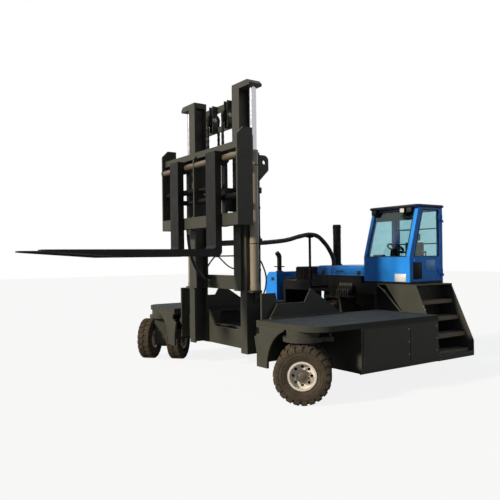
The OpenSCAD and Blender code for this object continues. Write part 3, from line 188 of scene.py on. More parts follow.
def blotches(tree, size_mm, low_value=0.0, high_value=1.0, used=(0.35, 0.65), detail=4.0):
    """Uneven value between two limits in blotches of a size in millimetres, from part of the noise."""
    place = add_node(tree, "ShaderNodeTexCoord")
    noise = add_node(tree, "ShaderNodeTexNoise", {},
                     {"Vector": place.outputs["Object"], "Scale": 1 / (size_mm * MM), "Detail": detail,
                      "Roughness": 0.6})
    return add_node(tree, "ShaderNodeMapRange", {},
                    {0: noise.outputs[0], 1: used[0], 2: used[1], 3: low_value, 4: high_value}).outputs[0]


def mottled(tree, first, second, *blotch):
    """Colour that goes from one to another in blotches."""
    return add_node(tree, "ShaderNodeMix", COLOUR_MIX,
                    {0: blotches(tree, *blotch), 6: first, 7: second}).outputs[2]


def relief(tree, size_mm, depth_mm, strength, normal=None):
    """Bumpy normal of a size and a depth in millimetres."""
    inputs = {"Height": blotches(tree, size_mm, 0.0, 1.0, (0.2, 0.8), 2.0), "Strength": strength,
              "Distance": depth_mm * MM}
    if normal is not None:
        inputs["Normal"] = normal
    return add_node(tree, "ShaderNodeBump", {}, inputs).outputs[0]


def add_block(bm, low_corner, high_corner, bevel, turn=None):
    """Adds a box between two corners, with its edges bevelled, turned about its middle."""
    low_corner = Vector(low_corner)
    high_corner = Vector(high_corner)
    size = high_corner - low_corner
    place = Matrix.Translation((low_corner + high_corner) / 2) @ (turn or Matrix.Identity(4))
    made = bmesh.ops.create_cube(bm, size=1, matrix=place @ Matrix.Diagonal((*size, 1)))
    edges = list({e for v in made["verts"] for e in v.link_edges})
    bmesh.ops.bevel(bm, geom=edges, offset=bevel, offset_type="OFFSET", affect="EDGES", segments=2,
                    profile=0.5, material=-1)


def aim(direction):
    """Turn that takes +Z to a direction."""
    return Vector(direction).to_track_quat("Z", "Y").to_matrix().to_4x4()


def add_bar(bm, start, end, radius, segments=20, end_radius=None):
    """Adds a closed round or many-sided bar between two points."""
    start = Vector(start)
    end = Vector(end)
    place = Matrix.Translation((start + end) / 2) @ aim(end - start)
    bmesh.ops.create_cone(bm, cap_ends=True, segments=segments, radius1=radius,
                          radius2=radius if end_radius is None else end_radius,
                          depth=(end - start).length, matrix=place)


def add_bolt(bm, at, normal, radius, height):
    """Adds a washer and a hexagon head on a face."""
    at = Vector(at)
    normal = Vector(normal).normalized()
    add_bar(bm, at, at + normal * height * 0.25, radius * 1.35, 16)
    add_bar(bm, at + normal * height * 0.25, at + normal * height, radius, 6)


def add_ring(bm, centre, axis, ring_radius, tube_radius, segments, tube_segments=8):
    """Adds a closed round ring: a small circle spun about an axis."""
    axis = Vector(axis).normalized()
    out = axis.orthogonal().normalized()
    circle = Matrix.Translation(Vector(centre) + out * ring_radius) @ aim(axis.cross(out))
    made = bmesh.ops.create_circle(bm, segments=tube_segments, radius=tube_radius, matrix=circle)
    edges = list({e for v in made["verts"] for e in v.link_edges})
    bmesh.ops.spin(bm, geom=edges, cent=centre, axis=axis, angle=math.tau, steps=segments, use_merge=True)
    bmesh.ops.remove_doubles(bm, verts=bm.verts, dist=1e-6)


def loose_piece(name, bm, finish, smooth=True):
    """Turns a bmesh into a piece without a body."""
    bmesh.ops.recalc_face_normals(bm, faces=bm.faces)
    mesh = bpy.data.meshes.new(name)
    bm.to_mesh(mesh)
    bm.free()
    mesh.materials.append(FINISHES[finish])
    if smooth:
        mesh.shade_smooth()
        mesh.set_sharp_from_angle(angle=SHARP_ANGLE)
    piece = bpy.data.objects.new(name, mesh)
    bpy.context.scene.collection.objects.link(piece)
    return piece


def finish_piece(name, bm, finish, body, smooth=True):
    """Turns a bmesh into a piece that rides on a body."""
    piece = loose_piece(name, bm, finish, smooth)
    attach(piece, body)
    return piece


def along(start, end, count):
    """Evenly spaced points from start to end."""
    start = Vector(start)
    end = Vector(end)
    return [start.lerp(end, i / (count - 1)) for i in range(count)]


def circle_places(count, radius, shift=0.0):
    """Evenly spaced places on a circle, in its plane, moved on by a share of their spacing."""
    turns = [math.tau * (i + shift) / count for i in range(count)]
    return [(radius * math.cos(turn), radius * math.sin(turn)) for turn in turns]


# Materials

FINISHES = {}


def paint():
    """The truck's colour settings."""
    return bpy.context.scene.forklift_paint


def painted_plate(tree, coat, dust, rough, dusty, worn, gloss):
    """Enamel sprayed on steel plate: a little uneven, dusty on its ledges and scuffed along its edges."""
    deep = tuple(channel * 0.80 for channel in coat[:3]) + (1.0,)
    colour = mottled(tree, deep, tuple(coat), 900)
    geometry = add_node(tree, "ShaderNodeNewGeometry")
    facing = add_node(tree, "ShaderNodeSeparateXYZ", {}, {0: geometry.outputs["Normal"]})
    ledge = add_node(tree, "ShaderNodeMapRange", {}, {0: facing.outputs["Z"], 1: 0.1, 2: 1.0, 3: 0.3, 4: 1.0})
    film = add_node(tree, "ShaderNodeMath", {"operation": "MULTIPLY"},
                    {0: blotches(tree, 170, 0.0, dusty, (0.42, 0.75), 6.0), 1: ledge.outputs[0]})
    colour = add_node(tree, "ShaderNodeMix", COLOUR_MIX,
                      {0: film.outputs[0], 6: colour, 7: tuple(dust)}).outputs[2]
    rounded = add_node(tree, "ShaderNodeBevel", {"samples": 4}, {"Radius": 7 * MM})
    edge = add_node(tree, "ShaderNodeVectorMath", {"operation": "DOT_PRODUCT"},
                    {0: rounded.outputs[0], 1: geometry.outputs["Normal"]})
    rubbed = add_node(tree, "ShaderNodeMapRange", {},
                      {0: edge.outputs["Value"], 1: 0.97, 2: 0.80, 3: 0.0, 4: worn})
    chips = add_node(tree, "ShaderNodeMath", {"operation": "MULTIPLY"},
                     {0: rubbed.outputs[0], 1: blotches(tree, 55, 0.0, 1.0, (0.45, 0.62), 5.0)})
    colour = add_node(tree, "ShaderNodeMix", COLOUR_MIX,
                      {0: chips.outputs[0], 6: colour, 7: linear("8c867a")}).outputs[2]
    # The enamel's orange peel is about 3 mm across, drawn at 14 mm so that it shows
    normal = relief(tree, 14, 1, 0.05, rounded.outputs[0])
    surface(tree, {"Base Color": colour, "Normal": normal, "Specular IOR Level": gloss,
                   "Roughness": blotches(tree, 220, rough - 0.06, rough + 0.10)})


def charcoal_enamel(tree):
    """Satin charcoal chassis enamel."""
    painted_plate(tree, paint().charcoal, paint().dust, rough=0.46, dusty=0.14, worn=0.5, gloss=0.22)


def blue_enamel(tree):
    """Glossy blue cab enamel, wiped cleaner than the chassis."""
    painted_plate(tree, paint().blue, linear("9aa4ad"), rough=0.32, dusty=0.03, worn=0.3, gloss=0.22)


def cream_enamel(tree):
    """Cream wheel enamel with road dust."""
    painted_plate(tree, paint().cream, paint().dust, rough=0.45, dusty=0.08, worn=0.15, gloss=0.4)


def shade_darkened_black(tree):
    """Satin black enamel on brackets and boxes, darker than black paint: the extra darkness is painted shade
    for the shadowed rear bay.
    """
    # Base below black paint's own darkness, painted shade for the rear bay
    painted_plate(tree, linear("131414"), paint().dust, rough=0.50, dusty=0.06, worn=0.3, gloss=0.12)


def fork_steel(tree):
    """Forged fork steel with thin black paint, rubbed on its edges."""
    painted_plate(tree, linear("171715"), linear("3a3731"), rough=0.50, dusty=0.12, worn=0.25, gloss=0.2)


def white_enamel(tree):
    """White enamel of a blank plate."""
    painted_plate(tree, linear("f0f0ec"), paint().dust, rough=0.35, dusty=0.02, worn=0.2, gloss=0.5)


def barrel_enamel(tree):
    """Beige cylinder enamel with an oily dust film."""
    painted_plate(tree, linear("a2967f"), paint().dust, rough=0.32, dusty=0.25, worn=0.3, gloss=0.5)


def grit_deck_painted_sky(tree):
    """Charcoal deck paint whose upward faces get a darker slate blue, a painted sky reflection; its 2 mm grit
    is drawn at 9 mm to show.
    """
    # The slate blue on upward faces is a painted sky reflection, not a paint of its own
    slate = mottled(tree, linear("2c343c"), linear("3b4044"), 350, 0.0, 1.0, (0.3, 0.7), 6.0)
    dusty = mottled(tree, slate, tuple(paint().dust), 60, 0.0, 0.3, (0.5, 0.8), 6.0)
    geometry = add_node(tree, "ShaderNodeNewGeometry")
    facing = add_node(tree, "ShaderNodeSeparateXYZ", {}, {0: geometry.outputs["Normal"]})
    # Mask of the upward faces that take the painted sky reflection
    top = add_node(tree, "ShaderNodeMapRange", {}, {0: facing.outputs["Z"], 1: 0.3, 2: 0.8, 3: 0.0, 4: 1.0})
    colour = add_node(tree, "ShaderNodeMix", COLOUR_MIX,
                      {0: top.outputs[0], 6: tuple(paint().charcoal), 7: dusty}).outputs[2]
    surface(tree, {"Base Color": colour, "Roughness": 0.75, "Specular IOR Level": 0.1,
                   "Normal": relief(tree, 9, 2, 0.25)})


def door_patch_painted_light(tree):
    """Lighter blue enamel of a patch on the door, painted light on the door's shaded face."""
    painted_plate(tree, linear("5fb2f2"), paint().dust, rough=0.30, dusty=0.04, worn=0.2, gloss=0.5)


def tread_nose_painted_highlight(tree):
    """Tan tread nose whose colour is a painted highlight of the sunlit tread edges, with dark dust on its
    ledges and scuffed edges.
    """
    painted_plate(tree, linear("94826a"), linear("4d453a"), rough=0.60, dusty=0.60, worn=0.7, gloss=0.3)


def cast_hub(tree):
    """Cast wheel hub, grey-brown with grease and dust."""
    painted_plate(tree, linear("6f675c"), linear("40382f"), rough=0.50, dusty=0.55, worn=0.5, gloss=0.4)


def greased_steel(tree):
    """Turned shaft steel under a brown film of grease."""
    painted_plate(tree, linear("6d604d"), linear("3d352b"), rough=0.30, dusty=0.45, worn=0.2, gloss=0.6)


def tyre_rubber(tree):
    """Moulded rubber greyed with dry brown dust, gritty to the eye."""
    greyed = mottled(tree, tuple(paint().rubber), linear("665a48"), 90, 0.1, 0.6, (0.3, 0.7), 6.0)
    dusty = mottled(tree, greyed, tuple(paint().dust), 22, 0.0, 0.35, (0.55, 0.75), 5.0)
    surface(tree, {"Base Color": dusty, "Roughness": 0.85, "Specular IOR Level": 0.3,
                   "Normal": relief(tree, 9, 2, 0.35)})


def hard_chrome(tree):
    """Ground and plated piston rod: bright, with faint turning marks."""
    surface(tree, {"Base Color": linear("bdbcc0"), "Metallic": 1.0,
                   "Roughness": blotches(tree, 70, 0.14, 0.26)})


def zinc_plate(tree):
    """Zinc-plated fasteners: dull silver with a mottled bloom."""
    surface(tree, {"Base Color": mottled(tree, linear("9b9a93"), linear("6e6b64"), 12),
                   "Metallic": 0.85, "Roughness": 0.45})


def hose_rubber(tree):
    """Extruded hose cover: black, with a wrapped texture of a few millimetres."""
    surface(tree, {"Base Color": mottled(tree, linear("161616"), linear("3b372f"), 60, 0.0, 0.4, (0.4, 0.75)),
                   "Roughness": 0.55, "Normal": relief(tree, 6, 1, 0.3)})


def woven_sleeve(tree):
    """Nylon hose sleeve: black cloth with a coarse weave, drawn at 9 mm so that it shows."""
    surface(tree, {"Base Color": mottled(tree, linear("17171a"), linear("35332f"), 45, 0.0, 0.5),
                   "Roughness": 0.8, "Sheen Weight": 0.2, "Normal": relief(tree, 9, 2, 0.5)})


def seal_rubber(tree):
    """Moulded window rubber."""
    surface(tree, {"Base Color": mottled(tree, linear("131313"), linear("2c2a27"), 40, 0.0, 0.3),
                   "Roughness": 0.7})


def window_glass(tree):
    """Tinted float glass: clear, blue-green in its body, with a faint uneven film on its faces."""
    colour = mottled(tree, linear("b6d8dd"), linear("c2dfe3"), 240, 0.0, 1.0, (0.35, 0.75), 5.0)
    surface(tree, {"Base Color": colour, "Transmission Weight": 1.0, "IOR": 1.45,
                   "Roughness": blotches(tree, 160, 0.0, 0.05)})


def lamp_glass(tree):
    """Pressed lamp glass over a bright reflector."""
    surface(tree, {"Base Color": mottled(tree, linear("f4f2ea"), linear("d5d7d6"), 15),
                   "Roughness": 0.12, "Coat Weight": 0.6})


def tail_lens(tree):
    """Moulded red acrylic lamp lens with fine ribs, drawn at 8 mm so that they show."""
    surface(tree, {"Base Color": mottled(tree, linear("8f1512"), linear("a61d16"), 30),
                   "Roughness": 0.15, "Normal": relief(tree, 8, 1, 0.3)})


def seat_vinyl(tree):
    """Black vinyl with a fine leather grain."""
    surface(tree, {"Base Color": mottled(tree, linear("121213"), linear("1f1f21"), 120, 0.0, 0.6),
                   "Roughness": 0.5, "Specular IOR Level": 0.25, "Normal": relief(tree, 5, 1, 0.3)})


def make_finishes():
    """Makes every material once, by name."""
    for finish in (charcoal_enamel, blue_enamel, cream_enamel, shade_darkened_black, fork_steel, white_enamel,
                   barrel_enamel, grit_deck_painted_sky, door_patch_painted_light, tread_nose_painted_highlight, cast_hub, greased_steel, tyre_rubber,
                   hard_chrome, zinc_plate, hose_rubber, woven_sleeve, seal_rubber, window_glass, lamp_glass,
                   tail_lens, seat_vinyl):
        material, tree = new_material(finish.__name__)
        finish(tree)
        FINISHES[finish.__name__] = material


# Finish of each of the record's material slots
SLOT_FINISH = {
    "charcoal_paint": "charcoal_enamel", "blue_paint": "blue_enamel", "black_paint": "shade_darkened_black",
    "fork_steel": "fork_steel", "chrome_rod": "hard_chrome", "rim_paint": "cream_enamel",
    "tyre_rubber": "tyre_rubber", "hose_rubber": "hose_rubber", "seat_cloth": "seat_vinyl",
    "window_glass": "window_glass",
}

# Nodes whose finish differs from their slot's
NODE_FINISH = {"lift_barrels": "barrel_enamel", "hanger_shaft": "greased_steel", "decks": "grit_deck_painted_sky"}


# Hoses and chains

def smooth_line(route, steps):
    """Points of a smooth curve through a route, with a number of steps on each stretch."""
    points = [Vector(p) for p in route]
    line = []
    for i in range(len(points) - 1):
        before = points[max(i - 1, 0)]
        start = points[i]
        end = points[i + 1]
        after = points[min(i + 2, len(points) - 1)]
        for k in range(steps):
            t = k / steps
            line.append((2 * start + (end - before) * t + (2 * before - 5 * start + 4 * end - after) * t ** 2
                         + (3 * start - before - 3 * end + after) * t ** 3) / 2)
    return line + [points[-1]]


def add_tube(bm, line, radius, sides=12, closed=False):
    """Adds a round tube along a row of points, capped or, when closed, joined end to end."""
    curve = bpy.data.curves.new("tube", "CURVE")
    curve.dimensions = "3D"
    curve.bevel_depth = radius
    curve.bevel_resolution = max(sides // 4 - 1, 0)
    curve.use_fill_caps = True
    spline = curve.splines.new("POLY")
    spline.points.add(len(line) - 1)
    spline.use_cyclic_u = closed
    for point, at in zip(spline.points, line):
        point.co = (*at, 1.0)
    carrier = bpy.data.objects.new("tube", curve)
    mesh = bpy.data.meshes.new_from_object(carrier)
    bm.from_mesh(mesh)
    bpy.data.objects.remove(carrier)
    bpy.data.curves.remove(curve)
    bpy.data.meshes.remove(mesh)


# Middle of the hose bundle from the mast's lower crossbar over the post to the hood
MAST_HOSE_ROUTE = ((-0.010, 0, 2.385), (-0.330, 0, 2.385), (-0.660, 0, 2.388), (-1.266, 0, 2.440),
                   (-1.640, 0, 2.522), (-1.910, 0, 2.562), (-2.140, 0, 2.522), (-2.370, 0, 2.340),
                   (-2.510, 0, 2.150), (-2.560, 0, 2.030), (-2.560, 0, 1.930))
# Middle of a carriage hose from the lower bar to the inner mast's foot, and the place of each hose across
CARRIAGE_HOSE_ROUTE = ((0.600, 0, 2.640), (0.600, 0, 2.480), (0.560, 0, 2.230), (0.470, 0, 1.980),
                       (0.330, 0, 1.790), (0.220, 0, 1.690), (0.130, 0, 1.690))
CARRIAGE_HOSE_PLACES = (-0.480, -0.530)


def hose_ferrule(bm, end, inward, radius, length):
    """Adds a crimped ferrule with a hexagon at the end of a hose."""
    end = Vector(end)
    inward = Vector(inward).normalized()
    add_bar(bm, end, end + inward * length * 0.35, radius * 1.5, 6)
    add_bar(bm, end + inward * length * 0.3, end + inward * length, radius * 1.25, 24)


class MakeMastHose(bpy.types.Operator):
    """Hose bundle in its woven sleeve, with ties, from the mast over the post to the hood"""
    bl_idname = "forklift.mast_hose"
    bl_label = "Mast hose"

    def execute(self, context):
        sleeve_radius = 43 * MM
        tie_half = 9 * MM
        line = smooth_line(MAST_HOSE_ROUTE, 8)
        bm = bmesh.new()
        add_tube(bm, line, sleeve_radius, 20)
        sleeve = loose_piece("mast_hose_sleeve", bm, "woven_sleeve")
        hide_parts("mast_hose")
        bm = bmesh.new()
        for index in range(4, len(line) - 3, 7):
            at = line[index]
            reach = (line[index + 1] - line[index - 1]).normalized() * tie_half
            add_bar(bm, at - reach, at + reach, sleeve_radius + 2.5 * MM, 32)
        ties = loose_piece("mast_hose_ties", bm, "seal_rubber")
        for piece in (sleeve, ties):
            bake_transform(piece)
        return {"FINISHED"}


class MakeCarriageHoses(bpy.types.Operator):
    """Two hoses between the fork carriage and the inner mast's foot, with crimped ferrules"""
    bl_idname = "forklift.carriage_hoses"
    bl_label = "Carriage hoses"

    def execute(self, context):
        radius = 17 * MM
        middle = smooth_line(CARRIAGE_HOSE_ROUTE, 8)
        for index, y in enumerate(CARRIAGE_HOSE_PLACES):
            line = [point + ACROSS * y for point in middle]
            bm = bmesh.new()
            add_tube(bm, line, radius, 16)
            hose = loose_piece(f"carriage_hose_{index + 1}", bm, "hose_rubber")
            if index == 0:
                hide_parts("carriage_hoses")
            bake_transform(hose)
        # Columns: piece, body, hose end, way into the hose, length
        ferrules = (("carriage_hose_ferrules", "fork_carriage", middle[0], -UP, 90 * MM),
                    ("inner_mast_ferrules", "inner_mast", middle[-1], ALONG, 80 * MM))
        for name, body, end, inward, length in ferrules:
            bm = bmesh.new()
            for y in CARRIAGE_HOSE_PLACES:
                hose_ferrule(bm, end + ACROSS * y, inward, radius, length)
            finish_piece(name, bm, "zinc_plate", body)
        return {"FINISHED"}


# Leaf chain: plates side by side, half the width over them, and the radii of a plate's ends and of a pin
CHAIN_PLATES = 9
CHAIN_HALF_WIDTH = 29 * MM
LINK_RADIUS = 13 * MM
PIN_RADIUS = 6 * MM


def add_link_plate(bm, at, pitch, thickness):
    """Adds one chain plate with round ends, standing up from its lower pin."""
    made = bmesh.ops.create_circle(bm, cap_ends=True, segments=16, radius=LINK_RADIUS,
                                   matrix=Matrix.Translation(at) @ aim(ACROSS))
    upper = [v for v in made["verts"] if v.co.z > at.z + 1e-6]
    bmesh.ops.translate(bm, verts=upper, vec=UP * pitch)
    faces = list({f for v in made["verts"] for f in v.link_faces})
    grown = bmesh.ops.extrude_face_region(bm, geom=faces)
    bmesh.ops.translate(bm, verts=[v for v in grown["geom"] if isinstance(v, bmesh.types.BMVert)],
                        vec=ACROSS * thickness)


def add_leaf_chain(bm, x, y, low_z, high_z, pitch):
    """Adds an upright leaf chain of lapped plates on pins, with the pitch fitted to its length."""
    step = 2 * CHAIN_HALF_WIDTH / CHAIN_PLATES
    right = y - CHAIN_HALF_WIDTH
    left = y + CHAIN_HALF_WIDTH
    count = int((high_z - low_z) / pitch)
    pitch = (high_z - low_z) / count
    for i in range(count):
        z = low_z + i * pitch
        for k in range(i % 2, CHAIN_PLATES, 2):
            add_link_plate(bm, Vector((x, right + k * step, z)), pitch, step * 0.86)
        add_bar(bm, (x, right - 1 * MM, z), (x, left + 1 * MM, z), PIN_RADIUS, 12)


class MakeChains(bpy.types.Operator):
    """Leaf chains that lift the fork carriage over the sheaves"""
    bl_idname = "forklift.chains"
    bl_label = "Lift chains"

    def execute(self, context):
        pitch = context.scene.forklift_hardware.link_pitch
        for node, lower_body in (("chains_rear", "mast"), ("chains_front", "fork_carriage")):
            foot = low(node)
            head = high(node)
            x = centre(node).x
            place = head.y - 30 * MM
            bm = bmesh.new()
            for y in (place, -place):
                add_leaf_chain(bm, x, y, foot.z, head.z, pitch)
            chain = loose_piece("leaf_" + node, bm, "fork_steel")
            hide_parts(node)
            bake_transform(chain)
        return {"FINISHED"}


# Mast pipes and hoses

# Free hoses behind the mast: name, radius in metres, and the route from fitting to fitting
MAST_HOSES = (
    ("mast_cross_hose", 0.014,
     ((0.005, -0.490, 2.148), (-0.005, -0.430, 2.135), (-0.015, -0.210, 2.005), (-0.020, -0.060, 1.940),
      (-0.020, 0.120, 1.915), (-0.020, 0.350, 1.955), (-0.010, 0.580, 2.060), (0.010, 0.700, 2.128),
      (0.020, 0.776, 2.148))),
    ("mast_right_hose", 0.014,
     ((0.005, -0.530, 2.148), (-0.010, -0.627, 2.110), (-0.022, -0.740, 2.045), (-0.022, -0.840, 1.965),
      (-0.008, -0.890, 1.885), (0.015, -0.900, 1.830), (0.030, -0.900, 1.800))),
    ("mast_left_hose", 0.013,
     ((0.030, 0.900, 2.085), (-0.020, 0.894, 2.050), (-0.085, 0.880, 1.950), (-0.140, 0.868, 1.830),
      (-0.158, 0.862, 1.710), (-0.135, 0.860, 1.570), (-0.070, 0.860, 1.440), (-0.010, 0.860, 1.370),
      (0.030, 0.860, 1.345))),
)
# Mast pipes: radius and place along the truck of the two risers, place and height of the pipe across, and
# the risers' clips
RISER_RADIUS = 9 * MM
RISER_X = 0.060
CROSS_PIPE_X = 0.020
CROSS_PIPE_Z = 2.148
CLIP_HEIGHTS = (0.900, 1.400, 1.900, 2.450, 2.950, 3.450)
# Lift cylinders: place across the truck, barrel radius, height of the port, and heights of the bands
LIFT_CYLINDER_Y = 1.050
BARREL_RADIUS = 75 * MM
PORT_Z = 1.680
BAND_HEIGHTS = (1.640, 2.345, 3.645, 3.840)


class MakeMastPlumbing(bpy.types.Operator):
    """Steel pipes with clips on the outer mast, its free hoses, and the fittings of the lift cylinders"""
    bl_idname = "forklift.mast_plumbing"
    bl_label = "Mast plumbing"

    def execute(self, context):
        for name, radius, route in MAST_HOSES:
            line = smooth_line(route, 6)
            bm = bmesh.new()
            add_tube(bm, line, radius, 12)
            hose = finish_piece(name, bm, "hose_rubber", "mast")
        self.add_pipes()
        self.add_clips()
        self.add_fittings()
        self.add_cylinder_fittings()
        return {"FINISHED"}

    def add_pipes(self):
        """Pipes up the columns and across the mast."""
        face = high("outer_column_left").y
        bm = bmesh.new()
        for side in SIDES:
            y = side * (face + RISER_RADIUS + 4 * MM)
            bend = ((0.110, side * face, 0.640), (0.085, y, 0.655), (0.062, y, 0.700), (RISER_X, y, 0.780))
            add_tube(bm, smooth_line(bend, 5) + [Vector((RISER_X, y, 3.500))], RISER_RADIUS, 12)
        add_tube(bm, [(CROSS_PIPE_X, y, CROSS_PIPE_Z) for y in (-0.776, 0.776)], 13 * MM, 12)
        finish_piece("mast_pipes", bm, "shade_darkened_black", "mast")

    def add_clips(self):
        """Bolted clips on the risers and plain ones on the pipe across."""
        face = high("outer_column_left").y
        outer = face + 24 * MM
        half = 22 * MM
        bm = bmesh.new()
        for side in SIDES:
            right, left = sorted((side * face, side * outer))
            for z in CLIP_HEIGHTS:
                add_block(bm, (RISER_X - half, right, z - 0.020), (RISER_X + half, left, z + 0.020), 3 * MM)
                add_bolt(bm, (RISER_X, side * outer, z), ACROSS * side, 7 * MM, 6 * MM)
        for y in (-0.730, 0.730):
            add_block(bm, (0.006, y - 0.020, 2.132), (0.036, y + 0.020, 2.166), 3 * MM)
        finish_piece("pipe_clips", bm, "shade_darkened_black", "mast")

    def add_fittings(self):
        """Tee on the cross pipe and a crimped ferrule at each hose end."""
        bm = bmesh.new()
        add_block(bm, (-0.006, -0.540, 2.128), (0.040, -0.480, 2.168), 4 * MM)
        for _, radius, route in MAST_HOSES:
            for end, inner in ((route[0], route[1]), (route[-1], route[-2])):
                hose_ferrule(bm, end, Vector(inner) - Vector(end), radius, 46 * MM)
        finish_piece("mast_hose_fittings", bm, "zinc_plate", "mast")

    def add_cylinder_fittings(self):
        """Bands, port block and union of each lift cylinder."""
        x = centre("lift_barrels").x
        rear = x - BARREL_RADIUS
        half = 22 * MM
        bm = bmesh.new()
        for side in SIDES:
            y = side * LIFT_CYLINDER_Y
            for z in BAND_HEIGHTS:
                add_ring(bm, (x, y, z), UP, BARREL_RADIUS, 6 * MM, 48)
            port_y = y - side * half
            add_block(bm, (x - half, port_y - half, PORT_Z - 0.020),
                      (x + half, port_y + half, PORT_Z + 0.020), 4 * MM)
            add_bar(bm, (rear + 4 * MM, y, PORT_Z), (rear - 26 * MM, y, PORT_Z), 14 * MM, 6)
            add_bar(bm, (rear - 22 * MM, y, PORT_Z), (rear - 34 * MM, y, PORT_Z), 10 * MM, 16)
        finish_piece("cylinder_fittings", bm, "shade_darkened_black", "mast")


# Hood, engine bay and stack

# Tail lamps: place across, and heights of the frame's and the lenses' edges
TAIL_LAMP_Y = 1.120
TAIL_FRAME_Z = (1.200, 1.310)
TAIL_LENS_Z = (1.214, 1.296)
# Place of a lifting eye across
LIFTING_EYE_Y = 0.700
# Valve block: place of each pipe across, heights of the body, of the pipes' ports and of the spool caps' tops
VALVE_PLACES = (0.490, 0.550, 0.610, 0.670, 0.730, 0.790)
VALVE_FOOT = 1.380
VALVE_TOP = 1.540
VALVE_PORT_Z = 1.470
SPOOL_TOP = 1.585
# Middle of a valve pipe from its port to the bridge: distance ahead of the bridge's face, height
VALVE_PIPE = ((0.120, 1.470), (0.155, 1.455), (0.165, 1.400), (0.140, 1.335), (0.040, 1.315), (-0.050, 1.335),
              (-0.075, 1.405))


class MakeRearFittings(bpy.types.Operator):
    """Hood and cover hardware, stack bands, valve block with its pipes, tail lamps and lifting eyes"""
    bl_idname = "forklift.rear_fittings"
    bl_label = "Rear fittings"

    def execute(self, context):
        bm = bmesh.new()
        self.add_hood_parts(bm)
        self.add_cover_parts(bm)
        finish_piece("hood_hardware", bm, "seal_rubber", "chassis")
        self.add_stack_bands()
        self.add_valve_block()
        self.add_tail_lamps()
        self.add_lifting_eyes()
        return {"FINISHED"}

    def add_hood_parts(self, bm):
        """Rubber seam along the hood's foot, two latches and a lift handle."""
        foot, top = low("hood"), high("hood")
        seam_z = foot.z + 0.040
        corners = ((foot.x, foot.y), (top.x, foot.y), (top.x, top.y), (foot.x, top.y))
        add_tube(bm, [(x, y, seam_z) for x, y in corners], 6 * MM, 8, closed=True)
        for y in (foot.y + 0.180, top.y - 0.180):
            add_block(bm, (top.x - 0.002, y - 0.045, foot.z + 0.015),
                      (top.x + 0.016, y + 0.045, foot.z + 0.095), 8 * MM)
        middle = centre("hood").y
        grip = ((0, -0.090), (0.035, -0.080), (0.035, 0.080), (0, 0.090))
        route = [(top.x + ahead, middle + offset, foot.z + 0.085) for ahead, offset in grip]
        add_tube(bm, smooth_line(route, 6), 8 * MM, 12)

    def add_cover_parts(self, bm):
        """Two hinges and a latch on the engine cover."""
        foot, top = low("engine_cover"), high("engine_cover")
        hinge = Vector((0, top.y + 0.004, top.z - 0.060))
        for x in (foot.x + 0.200, top.x - 0.200):
            add_bar(bm, hinge + ALONG * (x - 0.060), hinge + ALONG * (x + 0.060), 13 * MM, 16)
        latch_y = (foot.y + 0.140 + top.y) / 2
        add_block(bm, (top.x - 0.002, latch_y - 0.050, top.z - 0.200),
                  (top.x + 0.014, latch_y + 0.050, top.z - 0.120), 8 * MM)

    def add_stack_bands(self):
        """Bands and a louvred head on the intake stack."""
        foot, top = low("intake_stack"), high("intake_stack")
        middle = centre("intake_stack")
        radius = (top.x - foot.x) / 2 - 24 * MM
        bands = [(z, 5 * MM) for z in (foot.z + 0.060, foot.z + 0.330, top.z - 0.300)]
        louvres = [(at.z, 8 * MM) for at in along((0, 0, top.z - 0.185), (0, 0, top.z - 0.040), 6)]
        bm = bmesh.new()
        for z, thickness in bands + louvres:
            add_ring(bm, (middle.x, middle.y, z), UP, radius, thickness, 48)
        finish_piece("stack_bands", bm, "shade_darkened_black", "chassis")

    def add_valve_block(self):
        """Valve block on the bridge's front, its spool caps, and steel pipes that loop down to the bridge."""
        face = high("rear_bridge").x
        front = face + 0.110
        spool_x = face + 0.055
        bm = bmesh.new()
        add_block(bm, (face, 0.450, VALVE_FOOT), (front, 0.850, VALVE_TOP), 8 * MM)
        add_block(bm, (face, 0.410, VALVE_FOOT - 0.020), (face + 0.030, 0.890, VALVE_FOOT), 4 * MM)
        finish_piece("valve_block", bm, "shade_darkened_black", "chassis")
        bm = bmesh.new()
        for y in VALVE_PLACES:
            add_bar(bm, (spool_x, y, VALVE_TOP), (spool_x, y, SPOOL_TOP), 17 * MM, 20)
            add_bolt(bm, (spool_x, y, SPOOL_TOP), UP, 12 * MM, 10 * MM)
            add_bar(bm, (front, y, VALVE_PORT_Z), (front + 0.018, y, VALVE_PORT_Z), 15 * MM, 6)
            drop = [(face + ahead, y, z) for ahead, z in VALVE_PIPE]
            add_tube(bm, smooth_line(drop, 6), 9 * MM, 12)
        finish_piece("valve_pipes", bm, "cast_hub", "chassis")

    def add_tail_lamps(self):
        """Tail lamps in rubber frames on the bay's rear wall."""
        wall = low("rear_bridge").x - 0.060
        frames = bmesh.new()
        lenses = bmesh.new()
        for side in SIDES:
            y = side * TAIL_LAMP_Y
            add_block(frames, (wall - 0.016, y - 0.110, TAIL_FRAME_Z[0]),
                      (wall + 0.001, y + 0.110, TAIL_FRAME_Z[1]), 6 * MM)
            for lens_y in (y - 0.050, y + 0.050):
                add_block(lenses, (wall - 0.022, lens_y - 0.042, TAIL_LENS_Z[0]),
                          (wall - 0.010, lens_y + 0.042, TAIL_LENS_Z[1]), 4 * MM)
        finish_piece("tail_lamp_frames", frames, "seal_rubber", "chassis")
        finish_piece("tail_lamp_lenses", lenses, "tail_lens", "chassis")

    def add_lifting_eyes(self):
        """Lifting eyes on the counterweight, each a ring on a round foot."""
        x = low("counterweight").x + 0.070
        bm = bmesh.new()
        for side in SIDES:
            foot = Vector((x, side * LIFTING_EYE_Y, high("decks").z))
            add_ring(bm, foot + UP * 0.030, ALONG, 38 * MM, 12 * MM, 40, 12)
            add_bar(bm, foot - UP * 0.005, foot + UP * 0.006, 34 * MM, 32)
        finish_piece("lifting_eyes", bm, "shade_darkened_black", "chassis")


# Fasteners

# Heights of the bolt pairs where the mast's crossbars meet its columns
MAST_BOLT_HEIGHTS = (2.36, 2.41, 3.225, 3.275, 0.62, 0.80, 1.00)


